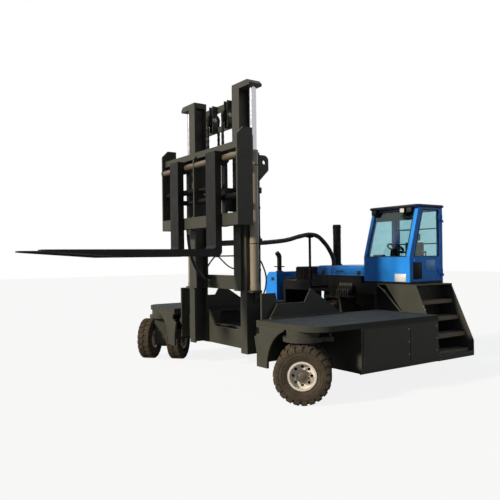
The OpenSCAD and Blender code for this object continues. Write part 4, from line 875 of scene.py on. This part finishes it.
class MakeFasteners(bpy.types.Operator):
    """Bolts on the side boxes, steps and mast, and the caps of the hanger shaft and the sheaves' pins"""
    bl_idname = "forklift.fasteners"
    bl_label = "Fasteners"

    def execute(self, context):
        hardware = context.scene.forklift_hardware
        groups = (("chassis_bolts", "chassis", self.chassis_rows()), ("mast_bolts", "mast", self.mast_rows()))
        for name, body, rows in groups:
            bm = bmesh.new()
            for start, end, count, normal in rows:
                for at in along(start, end, count):
                    add_bolt(bm, at, normal, hardware.bolt_radius, hardware.bolt_height)
            finish_piece(name, bm, "zinc_plate", body, smooth=False)
        self.add_shaft_caps()
        self.add_sheave_caps()
        return {"FINISHED"}

    def add_sheave_caps(self):
        """Light washer and nut over each end of the sheaves' pins."""
        middle = centre("sheaves")
        outer = high("sheave_brackets").y
        inner = outer - 0.116
        bm = bmesh.new()
        for y, facing in ((outer, 1), (inner, -1), (-inner, 1), (-outer, -1)):
            face = Vector((middle.x, y, middle.z))
            washer = face + ACROSS * facing * 6 * MM
            add_bar(bm, face, washer, 38 * MM, 32, 36 * MM)
            add_bolt(bm, washer, ACROSS * facing, 20 * MM, 16 * MM)
        finish_piece("sheave_caps", bm, "zinc_plate", "inner_mast", smooth=False)

    def add_shaft_caps(self):
        """Bolted cap over each end of the hanger shaft."""
        middle = centre("hanger_shaft")
        end = high("hanger_shaft").y
        bm = bmesh.new()
        for side in SIDES:
            face = Vector((middle.x, side * end, middle.z))
            cap = face + ACROSS * side * 10 * MM
            add_bar(bm, face, cap, 72 * MM, 40, 68 * MM)
            for x, z in circle_places(6, 52 * MM):
                add_bolt(bm, cap + ALONG * x + UP * z, ACROSS * side, 8 * MM, 6 * MM)
        finish_piece("shaft_caps", bm, "charcoal_enamel", "fork_carriage")

    def chassis_rows(self):
        """Rows on the side boxes and the front stringer: start, end, count and the way the bolts face."""
        rows = []
        for node, side in (("side_box_left", 1), ("side_box_right", -1)):
            rear, front = low(node), high(node)
            face = front.y if side > 0 else rear.y
            seam = ((front.x - 0.045) * 2 + rear.x * 3) / 5
            for x in (seam + 0.030, rear.x + 0.065):
                rows.append(((x, face, rear.z + 0.19), (x, face, front.z - 0.09), 3, ACROSS * side))
        stringer = high("steps").x
        rows.append(((stringer, 2.456, 1.233), (stringer, 2.480, 1.184), 2, ALONG))
        return rows

    def mast_rows(self):
        """Rows where the crossbars meet the columns."""
        rear = low("outer_mast_crossbars").x
        return [((rear, side * 0.82, z), (rear, side * 0.91, z), 2, -ALONG)
                for side in SIDES for z in MAST_BOLT_HEIGHTS]


# Cab

SILL_Z = 2.100
WINDOW_TOP = 2.945
SCREEN_LEAN = 0.278 / 0.940
# Inner face of the cab's door side, front of its lining, and the lamps' places across the truck
DOOR_INSIDE = 2.060
LINING_FRONT = -2.446
LIT_LAMP_Y = 1.810
DARKENED_LAMPS_Y = (1.130, 1.970)
# Blank plate on the cab's front: its sides and edges, and the rivets' distance from them
PLATE_SIDES = (1.780, 2.036)
PLATE_EDGES = (1.645, 1.786)
RIVET_INSET = 0.015
# Foot of each control lever: place along the truck and across it
LEVER_PLACES = ((-2.600, 1.640), (-2.610, 1.700), (-2.600, 1.760))


def screen_x(z):
    """Outer face of the cab's front at a height."""
    return high("cab_front").x - max(0.0, z - SILL_Z) * SCREEN_LEAN


def cab_windows():
    """Seal, body and corners of each window opening."""
    inner, outer = low("cab_front").y, high("cab_front").y
    rear = low("cab_rear").x
    left, right = inner + 0.085, outer - 0.085
    pillar = 0.120
    side = [(rear + pillar, SILL_Z), (screen_x(SILL_Z) - pillar, SILL_Z),
            (screen_x(WINDOW_TOP) - pillar, WINDOW_TOP), (rear + pillar, WINDOW_TOP)]
    ends = [(left, SILL_Z), (right, SILL_Z), (right, WINDOW_TOP), (left, WINDOW_TOP)]
    return (("windscreen_seal", "chassis", [(screen_x(z), y, z) for y, z in ends]),
            ("rear_window_seal", "chassis", [(rear, y, z) for y, z in ends]),
            ("side_window_seal", "chassis", [(x, inner, z) for x, z in side]),
            ("door_window_seal", "door", [(x, outer, z) for x, z in side]))


class MakeCabTrim(bpy.types.Operator):
    """Window seals, guard bars, lamp lenses, gutter, plates, lining and levers of the cab"""
    bl_idname = "forklift.cab_trim"
    bl_label = "Cab trim"

    def execute(self, context):
        hardware = context.scene.forklift_hardware
        for name, body, corners in cab_windows():
            bm = bmesh.new()
            add_tube(bm, corners, hardware.seal_width / 2, 12, closed=True)
            finish_piece(name, bm, "seal_rubber", body)
        self.add_guard_bars()
        self.add_lenses()
        self.add_gutter()
        self.add_plate()
        self.add_lining()
        self.add_levers()
        self.add_door_trim()
        return {"FINISHED"}

    def add_guard_bars(self):
        """Two bars across the rear window, on its inner side."""
        inside = low("cab_rear").x + 0.062
        bm = bmesh.new()
        for z in (2.615, 2.335):
            add_bar(bm, (inside, low("cab_rear").y + 0.050, z), (inside, DOOR_INSIDE, z), 12 * MM, 16)
        finish_piece("rear_window_bars", bm, "shade_darkened_black", "chassis")

    def add_lenses(self):
        """Ribbed glass in the middle lamp, dark rubber blocks over the outer two, and a dark strip over the
        windscreen that is painted shade on the cab's header.
        """
        front = high("lamps").x
        rear = front - 0.014
        glass = front - 0.006
        foot, top = low("lamps").z + 0.010, high("lamps").z - 0.010
        half = 50 * MM
        bm = bmesh.new()
        add_block(bm, (rear, LIT_LAMP_Y - half, foot), (glass, LIT_LAMP_Y + half, top), 2 * MM)
        for at in along((glass, LIT_LAMP_Y - 0.042, 0), (glass, LIT_LAMP_Y + 0.042, 0), 7):
            add_bar(bm, (at.x, at.y, foot + 0.004), (at.x, at.y, top - 0.004), 4 * MM, 8)
        finish_piece("lamp_lens", bm, "lamp_glass", "chassis")
        # Dark blocks over the outer lamps, and a strip that is painted shade on the header above the
        # windscreen
        bm = bmesh.new()
        for y in DARKENED_LAMPS_Y:
            add_block(bm, (rear, y - half, foot), (front + 0.004, y + half, top), 6 * MM)
        header = screen_x(2.968)
        add_block(bm, (header - 0.010, 1.110, 2.947), (header + 0.005, 2.036, 2.988), 3 * MM)
        finish_piece("dark_lamp_and_header_blocks", bm, "seal_rubber", "chassis")

    def add_gutter(self):
        """Rubber gutter round the roof's edge."""
        foot, top = low("cab_roof"), high("cab_roof")
        corner = 70 * MM
        z = centre("cab_roof").z
        ring = []
        for x, y, quarter in ((top.x - corner, top.y - corner, 0), (foot.x + corner, top.y - corner, 1),
                              (foot.x + corner, foot.y + corner, 2), (top.x - corner, foot.y + corner, 3)):
            for step in range(7):
                angle = (quarter + step / 6) * math.tau / 4
                ring.append((x + corner * math.cos(angle), y + corner * math.sin(angle), z))
        bm = bmesh.new()
        add_tube(bm, ring, 23 * MM, 12, closed=True)
        finish_piece("roof_gutter", bm, "seal_rubber", "chassis")

    def add_plate(self):
        """Blank white plate low on the cab's front, with a rivet in each corner."""
        face = high("cab_front").x
        front = face + 3 * MM
        right, left = PLATE_SIDES
        foot, top = PLATE_EDGES
        bm = bmesh.new()
        add_block(bm, (face, right, foot), (front, left, top), 1 * MM)
        for y in (right + RIVET_INSET, left - RIVET_INSET):
            for z in (foot + RIVET_INSET, top - RIVET_INSET):
                add_bar(bm, (front, y, z), (front + 2 * MM, y, z), 4 * MM, 12, 2 * MM)
        finish_piece("blank_plate", bm, "white_enamel", "chassis")

    def add_lining(self):
        """Dark headliner, sun blind, dash with its hood, floor mat and rear panel inside the cab."""
        roof = low("cab_roof").z
        inner, outer = low("cab_front").y + 0.055, DOOR_INSIDE
        rear = low("cab_rear").x + 0.080
        lean = Matrix.Rotation(-math.atan(SCREEN_LEAN), 4, "Y")
        blind_z = 2.850
        blind_x = screen_x(blind_z) - 0.085
        bm = bmesh.new()
        add_block(bm, (rear, inner, roof - 0.014), (screen_x(roof) - 0.075, outer, roof - 0.002), 4 * MM)
        add_block(bm, (blind_x - 0.006, inner + 0.020, blind_z - 0.090),
                  (blind_x + 0.006, outer - 0.020, blind_z + 0.090), 4 * MM, lean)
        add_block(bm, (-2.640, inner, 1.960), (LINING_FRONT, outer, 2.075), 20 * MM)
        add_block(bm, (-2.560, 1.180, 2.070), (-2.470, 1.420, 2.135), 15 * MM)
        add_block(bm, (rear, inner, 1.641), (LINING_FRONT, outer, 1.650), 3 * MM)
        add_block(bm, (rear - 0.028, inner, 1.660), (rear - 0.018, outer, SILL_Z - 0.020), 4 * MM)
        finish_piece("cab_lining", bm, "seal_rubber", "chassis")

    def add_levers(self):
        """Three levers with knobs on the dash, leaning back."""
        bm = bmesh.new()
        for x, y in LEVER_PLACES:
            add_bar(bm, (x, y, 2.070), (x - 0.020, y, 2.175), 6 * MM, 12)
            add_bar(bm, (x - 0.020, y, 2.165), (x - 0.024, y, 2.200), 15 * MM, 16, 11 * MM)
        finish_piece("control_levers", bm, "shade_darkened_black", "chassis")

    def add_door_trim(self):
        """Black plate on the door's lower front corner, and a lighter blue patch of painted light on the
        door.
        """
        face = high("cab_front").y
        bm = bmesh.new()
        # Black plate over the door's lower front corner
        add_block(bm, (-2.720, face, 1.690), (-2.480, face + 0.004, 1.990), 2 * MM)
        finish_piece("door_dark_plate", bm, "shade_darkened_black", "door")
        # Lighter blue patch: painted light on the door's shaded face
        bm = bmesh.new()
        add_block(bm, (-3.080, face, 1.840), (-2.820, face + 0.008, 2.036), 3 * MM)
        finish_piece("door_light_patch", bm, "door_patch_painted_light", "door")


# Seat

def swell(piece, voxel, pressure, most):
    """Remeshes a cushion blank and blows it up with cloth, with no point moved by more than a limit."""
    scene = bpy.context.scene
    remesh = piece.modifiers.new("remesh", "REMESH")
    remesh.mode = "VOXEL"
    remesh.voxel_size = voxel
    blank = piece.data
    mesh = bpy.data.meshes.new_from_object(piece.evaluated_get(bpy.context.evaluated_depsgraph_get()))
    piece.modifiers.clear()
    piece.data = mesh
    bpy.data.meshes.remove(blank)
    cloth = piece.modifiers.new("cloth", "CLOTH")
    cloth.settings.use_pressure = True
    cloth.settings.uniform_pressure_force = pressure
    cloth.settings.effector_weights.gravity = 0
    for step in range(1, 21):
        scene.frame_set(step)
    swollen = bpy.data.meshes.new_from_object(piece.evaluated_get(bpy.context.evaluated_depsgraph_get()))
    moved = [vertex.co.copy() for vertex in swollen.vertices]
    bpy.data.meshes.remove(swollen)
    piece.modifiers.clear()
    scene.frame_set(1)
    for vertex, after in zip(mesh.vertices, moved):
        shift = after - vertex.co
        vertex.co += shift * min(1.0, most / max(shift.length, 1e-9))


def sew_channels(piece, outward, places, depth, width):
    """Draws a cushion's face in along sewn lines across the truck's width."""
    for vertex in piece.data.vertices:
        facing = max(0.0, vertex.normal.dot(outward))
        near = max(math.exp(-((vertex.co.y - place) / width) ** 2) for place in places)
        vertex.co -= outward * depth * facing * near


# Cushions of the seat: lowest corner, highest corner, and the way the sewn face looks. Corners are measured
# from the rear of the seat, its middle and its floor.
SEAT_PADS = (
    ("seat_cushion", (0.105, -0.215, 0.312), (0.455, 0.215, 0.412), UP),
    ("seat_back", (0.032, -0.205, 0.440), (0.098, 0.205, 0.730), ALONG),
    ("seat_head", (0.022, -0.125, 0.755), (0.078, 0.125, 0.895), ALONG),
)


class MakeSeat(bpy.types.Operator):
    """Driver's seat: bellows, pan, swollen cushions with sewn channels, piping and armrests"""
    bl_idname = "forklift.seat"
    bl_label = "Seat"

    def execute(self, context):
        foot, top = low("seat"), high("seat")
        origin = Vector((foot.x, (foot.y + top.y) / 2, foot.z))
        for name, low_corner, high_corner, outward in SEAT_PADS:
            cushion = self.add_pad(name, origin + Vector(low_corner), origin + Vector(high_corner), outward)
            if name == "seat_cushion":
                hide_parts("seat")
        self.add_frame(origin)
        self.add_piping(origin)
        return {"FINISHED"}

    def add_pad(self, name, low_corner, high_corner, outward):
        """One crowned cushion."""
        bm = bmesh.new()
        add_block(bm, low_corner, high_corner, 24 * MM)
        cushion = finish_piece(name, bm, "seat_vinyl", "chassis")
        swell(cushion, voxel=6 * MM, pressure=4.0, most=9 * MM)
        middle = (low_corner.y + high_corner.y) / 2
        reach = (high_corner.y - low_corner.y) * 0.22
        sew_channels(cushion, outward, (middle - reach, middle + reach), depth=7 * MM, width=9 * MM)
        cushion.data.shade_smooth()
        smooth = cushion.modifiers.new("smooth", "SUBSURF")
        smooth.levels = 1
        smooth.render_levels = 1
        return cushion

    def add_frame(self, origin):
        """Foot, pan, back shell, armrests, bellows and the posts of the armrests and the head rest."""
        # Columns: lowest corner, highest corner, bevel
        blocks = (((0.130, -0.150, 0.000), (0.430, 0.150, 0.040), 10 * MM),
                  ((0.090, -0.200, 0.235), (0.445, 0.200, 0.308), 14 * MM),
                  ((0.004, -0.175, 0.300), (0.026, 0.175, 0.720), 8 * MM),
                  ((0.010, -0.240, 0.520), (0.330, -0.210, 0.555), 12 * MM),
                  ((0.010, 0.210, 0.520), (0.330, 0.240, 0.555), 12 * MM))
        # Columns: place along the seat, place across it, foot, top, radius
        posts = ((0.025, 0.225, 0.290, 0.530, 12 * MM),
                 (0.050, 0.060, 0.700, 0.780, 7 * MM))
        bm = bmesh.new()
        for low_corner, high_corner, bevel in blocks:
            add_block(bm, origin + Vector(low_corner), origin + Vector(high_corner), bevel)
        for fold in along((0, 0, 0.062), (0, 0, 0.218), 5):
            add_block(bm, origin + Vector((0.145, -0.135, fold.z - 0.022)),
                      origin + Vector((0.415, 0.135, fold.z + 0.022)), 16 * MM)
        for side in SIDES:
            for x, y, foot, top, radius in posts:
                add_bar(bm, origin + Vector((x, side * y, foot)), origin + Vector((x, side * y, top)), radius)
        finish_piece("seat_frame", bm, "seal_rubber", "chassis")

    def add_piping(self, origin):
        """Sewn piping round the cushion's and the back's faces."""
        inset = 14 * MM
        bm = bmesh.new()
        for _, low_corner, high_corner, outward in SEAT_PADS[:2]:
            a = origin + Vector(low_corner)
            b = origin + Vector(high_corner)
            if outward is UP:
                ring = [(a.x, a.y, b.z), (b.x, a.y, b.z), (b.x, b.y, b.z), (a.x, b.y, b.z)]
            else:
                ring = [(b.x, a.y, a.z), (b.x, b.y, a.z), (b.x, b.y, b.z), (b.x, a.y, b.z)]
            middle = (a + b) / 2
            corners = [Vector(p) + (middle - Vector(p)).normalized() * inset for p in ring]
            add_tube(bm, corners, 4 * MM, 8, closed=True)
        finish_piece("seat_piping", bm, "seal_rubber", "chassis")


# Steps

# Tops of the treads, and the riser's face above them
TREAD_HEIGHTS = (1.315, 1.030, 0.745, 0.460)
RISER_Y = 2.082
# Noses lie this far in from the stringer's edge, which stands upright at the foot and leans in above it
NOSE_INSET = 0.095
STRINGER_FOOT_Y = 2.745
STRINGER_BEND_Z = 0.600
STRINGER_LEAN = 0.440 / 0.960


def tread_nose(z):
    """Place of a tread's nose across the truck, at the height of its top."""
    return STRINGER_FOOT_Y - max(z - STRINGER_BEND_Z, 0.0) * STRINGER_LEAN - NOSE_INSET


class MakeStepFittings(bpy.types.Operator):
    """Anti-slip ribs on the treads, louvres on the riser and the brace beside the stringer"""
    bl_idname = "forklift.step_fittings"
    bl_label = "Step fittings"

    def execute(self, context):
        rear, front = low("steps").x + 0.035, high("steps").x - 0.035
        self.add_ribs(rear, front)
        self.add_noses(rear, front)
        self.add_brace(high("steps").x - 0.012)
        return {"FINISHED"}

    def add_ribs(self, rear, front):
        """Anti-slip ribs on the treads and louvres on the riser."""
        bm = bmesh.new()
        for z in TREAD_HEIGHTS:
            nose = tread_nose(z)
            for at in along((0, nose - 0.015, z), (0, nose - 0.235, z), 9):
                add_bar(bm, (rear, at.y, z), (front, at.y, z), 4 * MM, 8)
        for at in along((0, 0, 1.350), (0, 0, 1.540), 6):
            add_bar(bm, (rear, RISER_Y, at.z), (front, RISER_Y, at.z), 9 * MM, 10)
        finish_piece("tread_ribs", bm, "charcoal_enamel", "chassis")

    def add_noses(self, rear, front):
        """Ribbed nose along each tread's edge."""
        bm = bmesh.new()
        for z in TREAD_HEIGHTS:
            nose = tread_nose(z)
            edge = nose + 0.004
            add_block(bm, (rear, nose - 0.001, z - 0.068), (front, edge, z - 0.002), 1 * MM)
            for at in along((0, edge, z - 0.060), (0, edge, z - 0.010), 4):
                add_bar(bm, (rear, edge, at.z), (front, edge, at.z), 3 * MM, 8)
        # The noses' tan is a painted highlight of the sunlit tread edges
        finish_piece("tread_noses", bm, "tread_nose_painted_highlight", "chassis")

    def add_brace(self, x):
        """Square brace beside the stringer, bent once, with a collar at its foot and its bend."""
        foot = Vector((x, 1.950, 1.105))
        bend = Vector((x, 1.560, 1.470))
        bm = bmesh.new()
        add_bar(bm, foot, bend, 17 * MM, 4)
        add_bar(bm, bend, (x, 1.395, 1.570), 17 * MM, 4)
        for at in (foot, bend):
            add_ring(bm, at, ALONG, 20 * MM, 7 * MM, 24)
        finish_piece("stringer_brace", bm, "charcoal_enamel", "chassis")


# Wheels

FRONT_PIVOT = (0.223, 2.271)
FRONT_STEER = math.radians(-43)
FRONT_AXLE_Z = 0.420
REAR_PIVOT_X = -2.735
REAR_AXLE_Z = 0.620
NAMED_SIDES = (("left", 1), ("right", -1))
# Matrix from the rear wheel's own axes, with the axle along Y, to the truck's
REAR_WHEEL_FRAME = Matrix.Translation((REAR_PIVOT_X, 0, REAR_AXLE_Z))
# Tyre sizes: radius over the lugs, width, and radius of the seat on the rim
FRONT_TYRE = (0.420, 0.280, 0.1953)
REAR_TYRE = (0.620, 0.320, 0.3153)
# Places along a front axle, from the middle of the twin wheels: a tyre's middle, a rim's disc and a hub's end
TWIN_OFFSET = 0.318
RIM_DISC = 0.370
HUB_END = 0.430
# Wheel nuts of a front and of the rear rim: count, ring radius
FRONT_NUTS = (8, 0.108)
REAR_NUTS = (10, 0.165)
# Ribs on a front tyre's sidewalls: ring radius, distance from the tyre's middle
SIDEWALL_RIBS = ((0.300, 0.140), (0.262, 0.137), (0.345, 0.138))


def wheel_frame(side):
    """Matrix from a front wheel set's own axes, with the axle along Y, to the truck's."""
    return (Matrix.Translation((FRONT_PIVOT[0], side * FRONT_PIVOT[1], FRONT_AXLE_Z))
            @ Matrix.Rotation(side * FRONT_STEER, 4, "Z"))


def add_wheel_nuts(bm, face_y, outward, count, ring):
    """Adds a ring of wheel nuts with studs on a rim's disc, round the Y axis."""
    nut = bpy.context.scene.forklift_hardware.nut_radius
    for x, z in circle_places(count, ring, 0.5):
        at = Vector((x, face_y, z))
        add_bolt(bm, at, ACROSS * outward, nut, nut)
        add_bar(bm, at, at + ACROSS * outward * nut * 1.5, nut * 0.5, 10)


# Half sections of a tyre under its lugs and of one lug: share of the wall's height, share of the half width
CARCASS_SECTION = ((0, 0.80), (0.10, 0.80), (0.26, 0.97), (0.50, 1.0), (0.62, 0.985), (0.66, 0.91),
                   (0.84, 0.86), (0.92, 0.72))
LUG_SECTION = ((1.0, 0.06), (1.0, 0.78), (0.94, 0.90), (0.80, 0.97), (0.645, 0.984), (0.66, 0.87),
               (0.82, 0.80), (0.86, 0.06))
# Lugs on each side of a tyre, the share of the pitch that a lug fills, and its slant from the middle outwards
LUG_COUNT = 22
LUG_SHARE = 0.68
LUG_SLANT = math.radians(7)


def tyre_section(shares, side, middle, size):
    """Points of a tyre's half section on one side, in the plane of the axle and the X axis."""
    radius, width, seat = size
    return [Vector((seat + tall * (radius - seat), middle + side * wide * width / 2, 0))
            for tall, wide in shares]


def add_tyre(bm, middle, size):
    """Adds a tyre of a size round the Y axis: carcass, and slanted lugs over both shoulders."""
    right = tyre_section(CARCASS_SECTION, 1, middle, size)
    left = tyre_section(CARCASS_SECTION, -1, middle, size)
    corners = [bm.verts.new(point) for point in right + left[::-1]]
    edges = [bm.edges.new((corners[i - 1], corners[i])) for i in range(len(corners))]
    bmesh.ops.spin(bm, geom=corners + edges, axis=ACROSS, cent=(0, 0, 0), angle=math.tau, steps=96,
                   use_merge=True)
    pitch = math.tau / LUG_COUNT
    for i in range(LUG_COUNT):
        for side in SIDES:
            first = len(bm.verts)
            corners = [bm.verts.new(point) for point in tyre_section(LUG_SECTION, side, middle, size)]
            face = bm.faces.new(corners)
            bmesh.ops.spin(bm, geom=[face] + list(face.edges) + corners, axis=ACROSS, cent=(0, 0, 0),
                           angle=pitch * LUG_SHARE, steps=4)
            bm.verts.ensure_lookup_table()
            for vert in bm.verts[first:]:
                slant = LUG_SLANT * abs(vert.co.y - middle) / size[1]
                vert.co = Matrix.Rotation(pitch * (i + side / 4) + slant, 3, "Y") @ vert.co


class MakeTyres(bpy.types.Operator):
    """Lugged tyres on the front wheel sets and the rear wheel"""
    bl_idname = "forklift.tyres"
    bl_label = "Tyres"

    def execute(self, context):
        for name, side in NAMED_SIDES:
            bm = bmesh.new()
            for outward in SIDES:
                add_tyre(bm, outward * TWIN_OFFSET, FRONT_TYRE)
            bmesh.ops.transform(bm, matrix=wheel_frame(side), verts=bm.verts)
            tyres = finish_piece("lugged_tyres_" + name, bm, "tyre_rubber", "wheels_" + name)
            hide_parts("front_tyres_" + name)
        bm = bmesh.new()
        add_tyre(bm, 0, REAR_TYRE)
        bmesh.ops.transform(bm, matrix=REAR_WHEEL_FRAME, verts=bm.verts)
        tyre = finish_piece("lugged_tyre_rear", bm, "tyre_rubber", "wheel_rear")
        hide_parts("rear_tyre")
        return {"FINISHED"}


class MakeWheelFittings(bpy.types.Operator):
    """Wheel nuts, valves and hub caps on the rims, and the ribs on the sidewalls"""
    bl_idname = "forklift.wheel_fittings"
    bl_label = "Wheel fittings"

    def execute(self, context):
        # Columns: piece, finish, what is added on each side of a wheel set, smooth shading
        parts = (("wheel_nuts_", "cream_enamel", self.add_rim_parts, False),
                 ("hub_caps_", "cast_hub", self.add_hub_cap, True),
                 ("sidewall_ribs_", "tyre_rubber", self.add_sidewall_ribs, True))
        for name, side in NAMED_SIDES:
            for piece, finish, add_parts, smooth in parts:
                bm = bmesh.new()
                for outward in SIDES:
                    add_parts(bm, outward)
                bmesh.ops.transform(bm, matrix=wheel_frame(side), verts=bm.verts)
                finish_piece(piece + name, bm, finish, "wheels_" + name, smooth=smooth)
        bm = bmesh.new()
        for outward in SIDES:
            add_wheel_nuts(bm, outward * 12 * MM, outward, *REAR_NUTS)
        bmesh.ops.transform(bm, matrix=REAR_WHEEL_FRAME, verts=bm.verts)
        finish_piece("wheel_nuts_rear", bm, "cream_enamel", "wheel_rear", smooth=False)
        return {"FINISHED"}

    def add_rim_parts(self, bm, outward):
        """Wheel nuts and the tyre's valve."""
        add_wheel_nuts(bm, outward * RIM_DISC, outward, *FRONT_NUTS)
        add_bar(bm, (0, outward * (RIM_DISC + 0.002), 0.160), (0, outward * HUB_END, 0.168), 5 * MM, 10)

    def add_hub_cap(self, bm, outward):
        """Sleeve round the hub, domed cap and the ring of bolts that holds it."""
        end = ACROSS * outward * HUB_END
        add_bar(bm, ACROSS * outward * (RIM_DISC + 0.014), end, 90 * MM, 48)
        add_bar(bm, end, end + ACROSS * outward * 8 * MM, 60 * MM, 48, 48 * MM)
        for x, z in circle_places(8, 75 * MM):
            add_bolt(bm, end + ALONG * x + UP * z, ACROSS * outward, 7 * MM, 6 * MM)

    def add_sidewall_ribs(self, bm, outward):
        """Raised rings on the outer sidewall."""
        for ring, bulge in SIDEWALL_RIBS:
            add_ring(bm, ACROSS * outward * (TWIN_OFFSET + bulge), ACROSS, ring, 4 * MM, 96)


# Paint and stage

class PaintForklift(bpy.types.Operator):
    """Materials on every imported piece"""
    bl_idname = "forklift.finishes"
    bl_label = "Finishes"

    def execute(self, context):
        make_finishes()
        slots = {row["node"]: row["material_slot"] for row in frame["record"]["subparts"]}
        for name, piece in NODES.items():
            finish = FINISHES[NODE_FINISH.get(name, SLOT_FINISH[slots[name]])]
            piece.data.materials.clear()
            piece.data.materials.append(finish)
        return {"FINISHED"}


# Sun: heading and rise of its place, and its breadth in the sky
SUN_HEADING = math.radians(-8)
SUN_RISE = math.radians(25)
SUN_BREADTH = math.radians(6)
# Sensor width in millimetres, and the photograph's shift of the lens as shares of it
SENSOR_WIDTH = 36
LENS_SHIFT = (0.0016, 0.0144)
# Distance from the floor's middle to its edge, and the share of its own light that the camera sees on it
FLOOR_REACH = 60
FLOOR_GLOW = 0.86


def bearing(heading, rise):
    """Unit vector at a heading from the forks' direction and a rise from level."""
    return Vector((math.cos(heading) * math.cos(rise), math.sin(heading) * math.cos(rise), math.sin(rise)))


class SetStage(bpy.types.Operator):
    """Pale floor, white surround, low sun and the photograph's camera"""
    bl_idname = "forklift.stage"
    bl_label = "Stage"

    def execute(self, context):
        settings = context.scene.forklift_stage
        context.scene.view_settings.view_transform = "Standard"
        self.add_camera(context, settings)
        self.add_sun(context, settings)
        self.add_surround(context, settings)
        self.add_floor(context)
        return {"FINISHED"}

    def add_camera(self, context, settings):
        """Camera at the photograph's place, heading and lens."""
        heading = settings.camera_heading
        roll = settings.camera_roll
        ahead = bearing(heading, settings.camera_pitch)
        right = Vector((math.sin(heading), -math.cos(heading), 0))
        top = right.cross(ahead)
        leaned_right = right * math.cos(roll) + top * math.sin(roll)
        leaned_top = top * math.cos(roll) - right * math.sin(roll)
        lens = bpy.data.cameras.new("camera")
        lens.lens = settings.camera_lens
        lens.sensor_width = SENSOR_WIDTH
        lens.sensor_fit = "HORIZONTAL"
        lens.shift_x, lens.shift_y = LENS_SHIFT
        camera = bpy.data.objects.new("camera", lens)
        turn = Matrix((leaned_right, leaned_top, -ahead)).transposed().to_4x4()
        camera.matrix_world = Matrix.Translation(settings.camera_place) @ turn
        context.scene.collection.objects.link(camera)
        context.scene.camera = camera

    def add_sun(self, context, settings):
        """Low broad sun from ahead of the forks."""
        lamp = bpy.data.lights.new("sun", "SUN")
        lamp.energy = settings.sun_strength
        lamp.angle = SUN_BREADTH
        lamp.color = linear("fff3e2")[:3]
        sun = bpy.data.objects.new("sun", lamp)
        sun.matrix_world = aim(bearing(SUN_HEADING, SUN_RISE))
        context.scene.collection.objects.link(sun)

    def add_surround(self, context, settings):
        """White to the eye and in reflections, soft sky light for everything else."""
        world = bpy.data.worlds.new("surround")
        world.use_nodes = True
        tree = world.node_tree
        tree.nodes.clear()
        path = add_node(tree, "ShaderNodeLightPath")
        sky = add_node(tree, "ShaderNodeBackground", {},
                       {"Color": linear("b4d0f4"), "Strength": settings.sky_strength})
        white = add_node(tree, "ShaderNodeBackground", {}, {"Color": (1, 1, 1, 1), "Strength": 1.0})
        seen = path.outputs["Is Camera Ray"]
        for ray in ("Is Glossy Ray", "Is Transmission Ray"):
            seen = add_node(tree, "ShaderNodeMath", {"operation": "MAXIMUM"},
                            {0: seen, 1: path.outputs[ray]}).outputs[0]
        mixed = add_node(tree, "ShaderNodeMixShader", {}, {0: seen, 1: sky.outputs[0], 2: white.outputs[0]})
        add_node(tree, "ShaderNodeOutputWorld", {}, {"Surface": mixed.outputs[0]})
        context.scene.world = world

    def add_floor(self, context):
        """Pale yard floor that keeps the truck's shadow."""
        material, tree = new_material("pale_concrete")
        path = add_node(tree, "ShaderNodeLightPath")
        pale = mottled(tree, linear("f2f1ee"), linear("faf9f7"), 700)
        colour = add_node(tree, "ShaderNodeMix", COLOUR_MIX,
                          {0: path.outputs["Is Camera Ray"], 6: linear("9a9c9e"), 7: pale}).outputs[2]
        lit = add_node(tree, "ShaderNodeBsdfDiffuse", {}, {"Color": colour})
        share = add_node(tree, "ShaderNodeMath", {"operation": "MULTIPLY"},
                         {0: path.outputs["Is Camera Ray"], 1: FLOOR_GLOW})
        glow = add_node(tree, "ShaderNodeEmission", {}, {"Color": (1, 1, 1, 1), "Strength": 1.0})
        mixed = add_node(tree, "ShaderNodeMixShader", {},
                         {0: share.outputs[0], 1: lit.outputs[0], 2: glow.outputs[0]})
        add_node(tree, "ShaderNodeOutputMaterial", {}, {"Surface": mixed.outputs[0]})
        bm = bmesh.new()
        bmesh.ops.create_grid(bm, x_segments=4, y_segments=4, size=FLOOR_REACH)
        mesh = bpy.data.meshes.new("floor")
        bm.to_mesh(mesh)
        bm.free()
        mesh.materials.append(material)
        floor = bpy.data.objects.new("floor", mesh)
        context.scene.collection.objects.link(floor)


OPERATORS = (PaintForklift, SetStage, MakeMastHose, MakeCarriageHoses, MakeMastPlumbing, MakeChains,
             MakeFasteners, MakeCabTrim, MakeSeat, MakeStepFittings, MakeTyres, MakeWheelFittings,
             MakeRearFittings)


class ForkliftPanel(bpy.types.Panel):
    """Sidebar panel with the truck's settings and steps"""
    bl_idname = "VIEW3D_PT_forklift"
    bl_label = "Multidirectional forklift"
    bl_space_type = "VIEW_3D"
    bl_region_type = "UI"
    bl_category = "Forklift"

    def draw(self, context):
        scene = context.scene
        for group in (scene.forklift_paint, scene.forklift_hardware, scene.forklift_stage):
            for name in group.__annotations__:
                self.layout.prop(group, name)
        for operator in OPERATORS:
            self.layout.operator(operator.bl_idname)


CLASSES = (ForkliftPaint, ForkliftHardware, ForkliftStage) + OPERATORS + (ForkliftPanel,)


def register():
    for cls in CLASSES:
        bpy.utils.register_class(cls)
    bpy.types.Scene.forklift_paint = bpy.props.PointerProperty(type=ForkliftPaint)
    bpy.types.Scene.forklift_hardware = bpy.props.PointerProperty(type=ForkliftHardware)
    bpy.types.Scene.forklift_stage = bpy.props.PointerProperty(type=ForkliftStage)


def unregister():
    for name in ("forklift_paint", "forklift_hardware", "forklift_stage"):
        delattr(bpy.types.Scene, name)
    for cls in reversed(CLASSES):
        bpy.utils.unregister_class(cls)


def main():
    register()
    for operator in OPERATORS:
        module, name = operator.bl_idname.split(".")
        getattr(getattr(bpy.ops, module), name)()


if __name__ == "__main__":
    main()
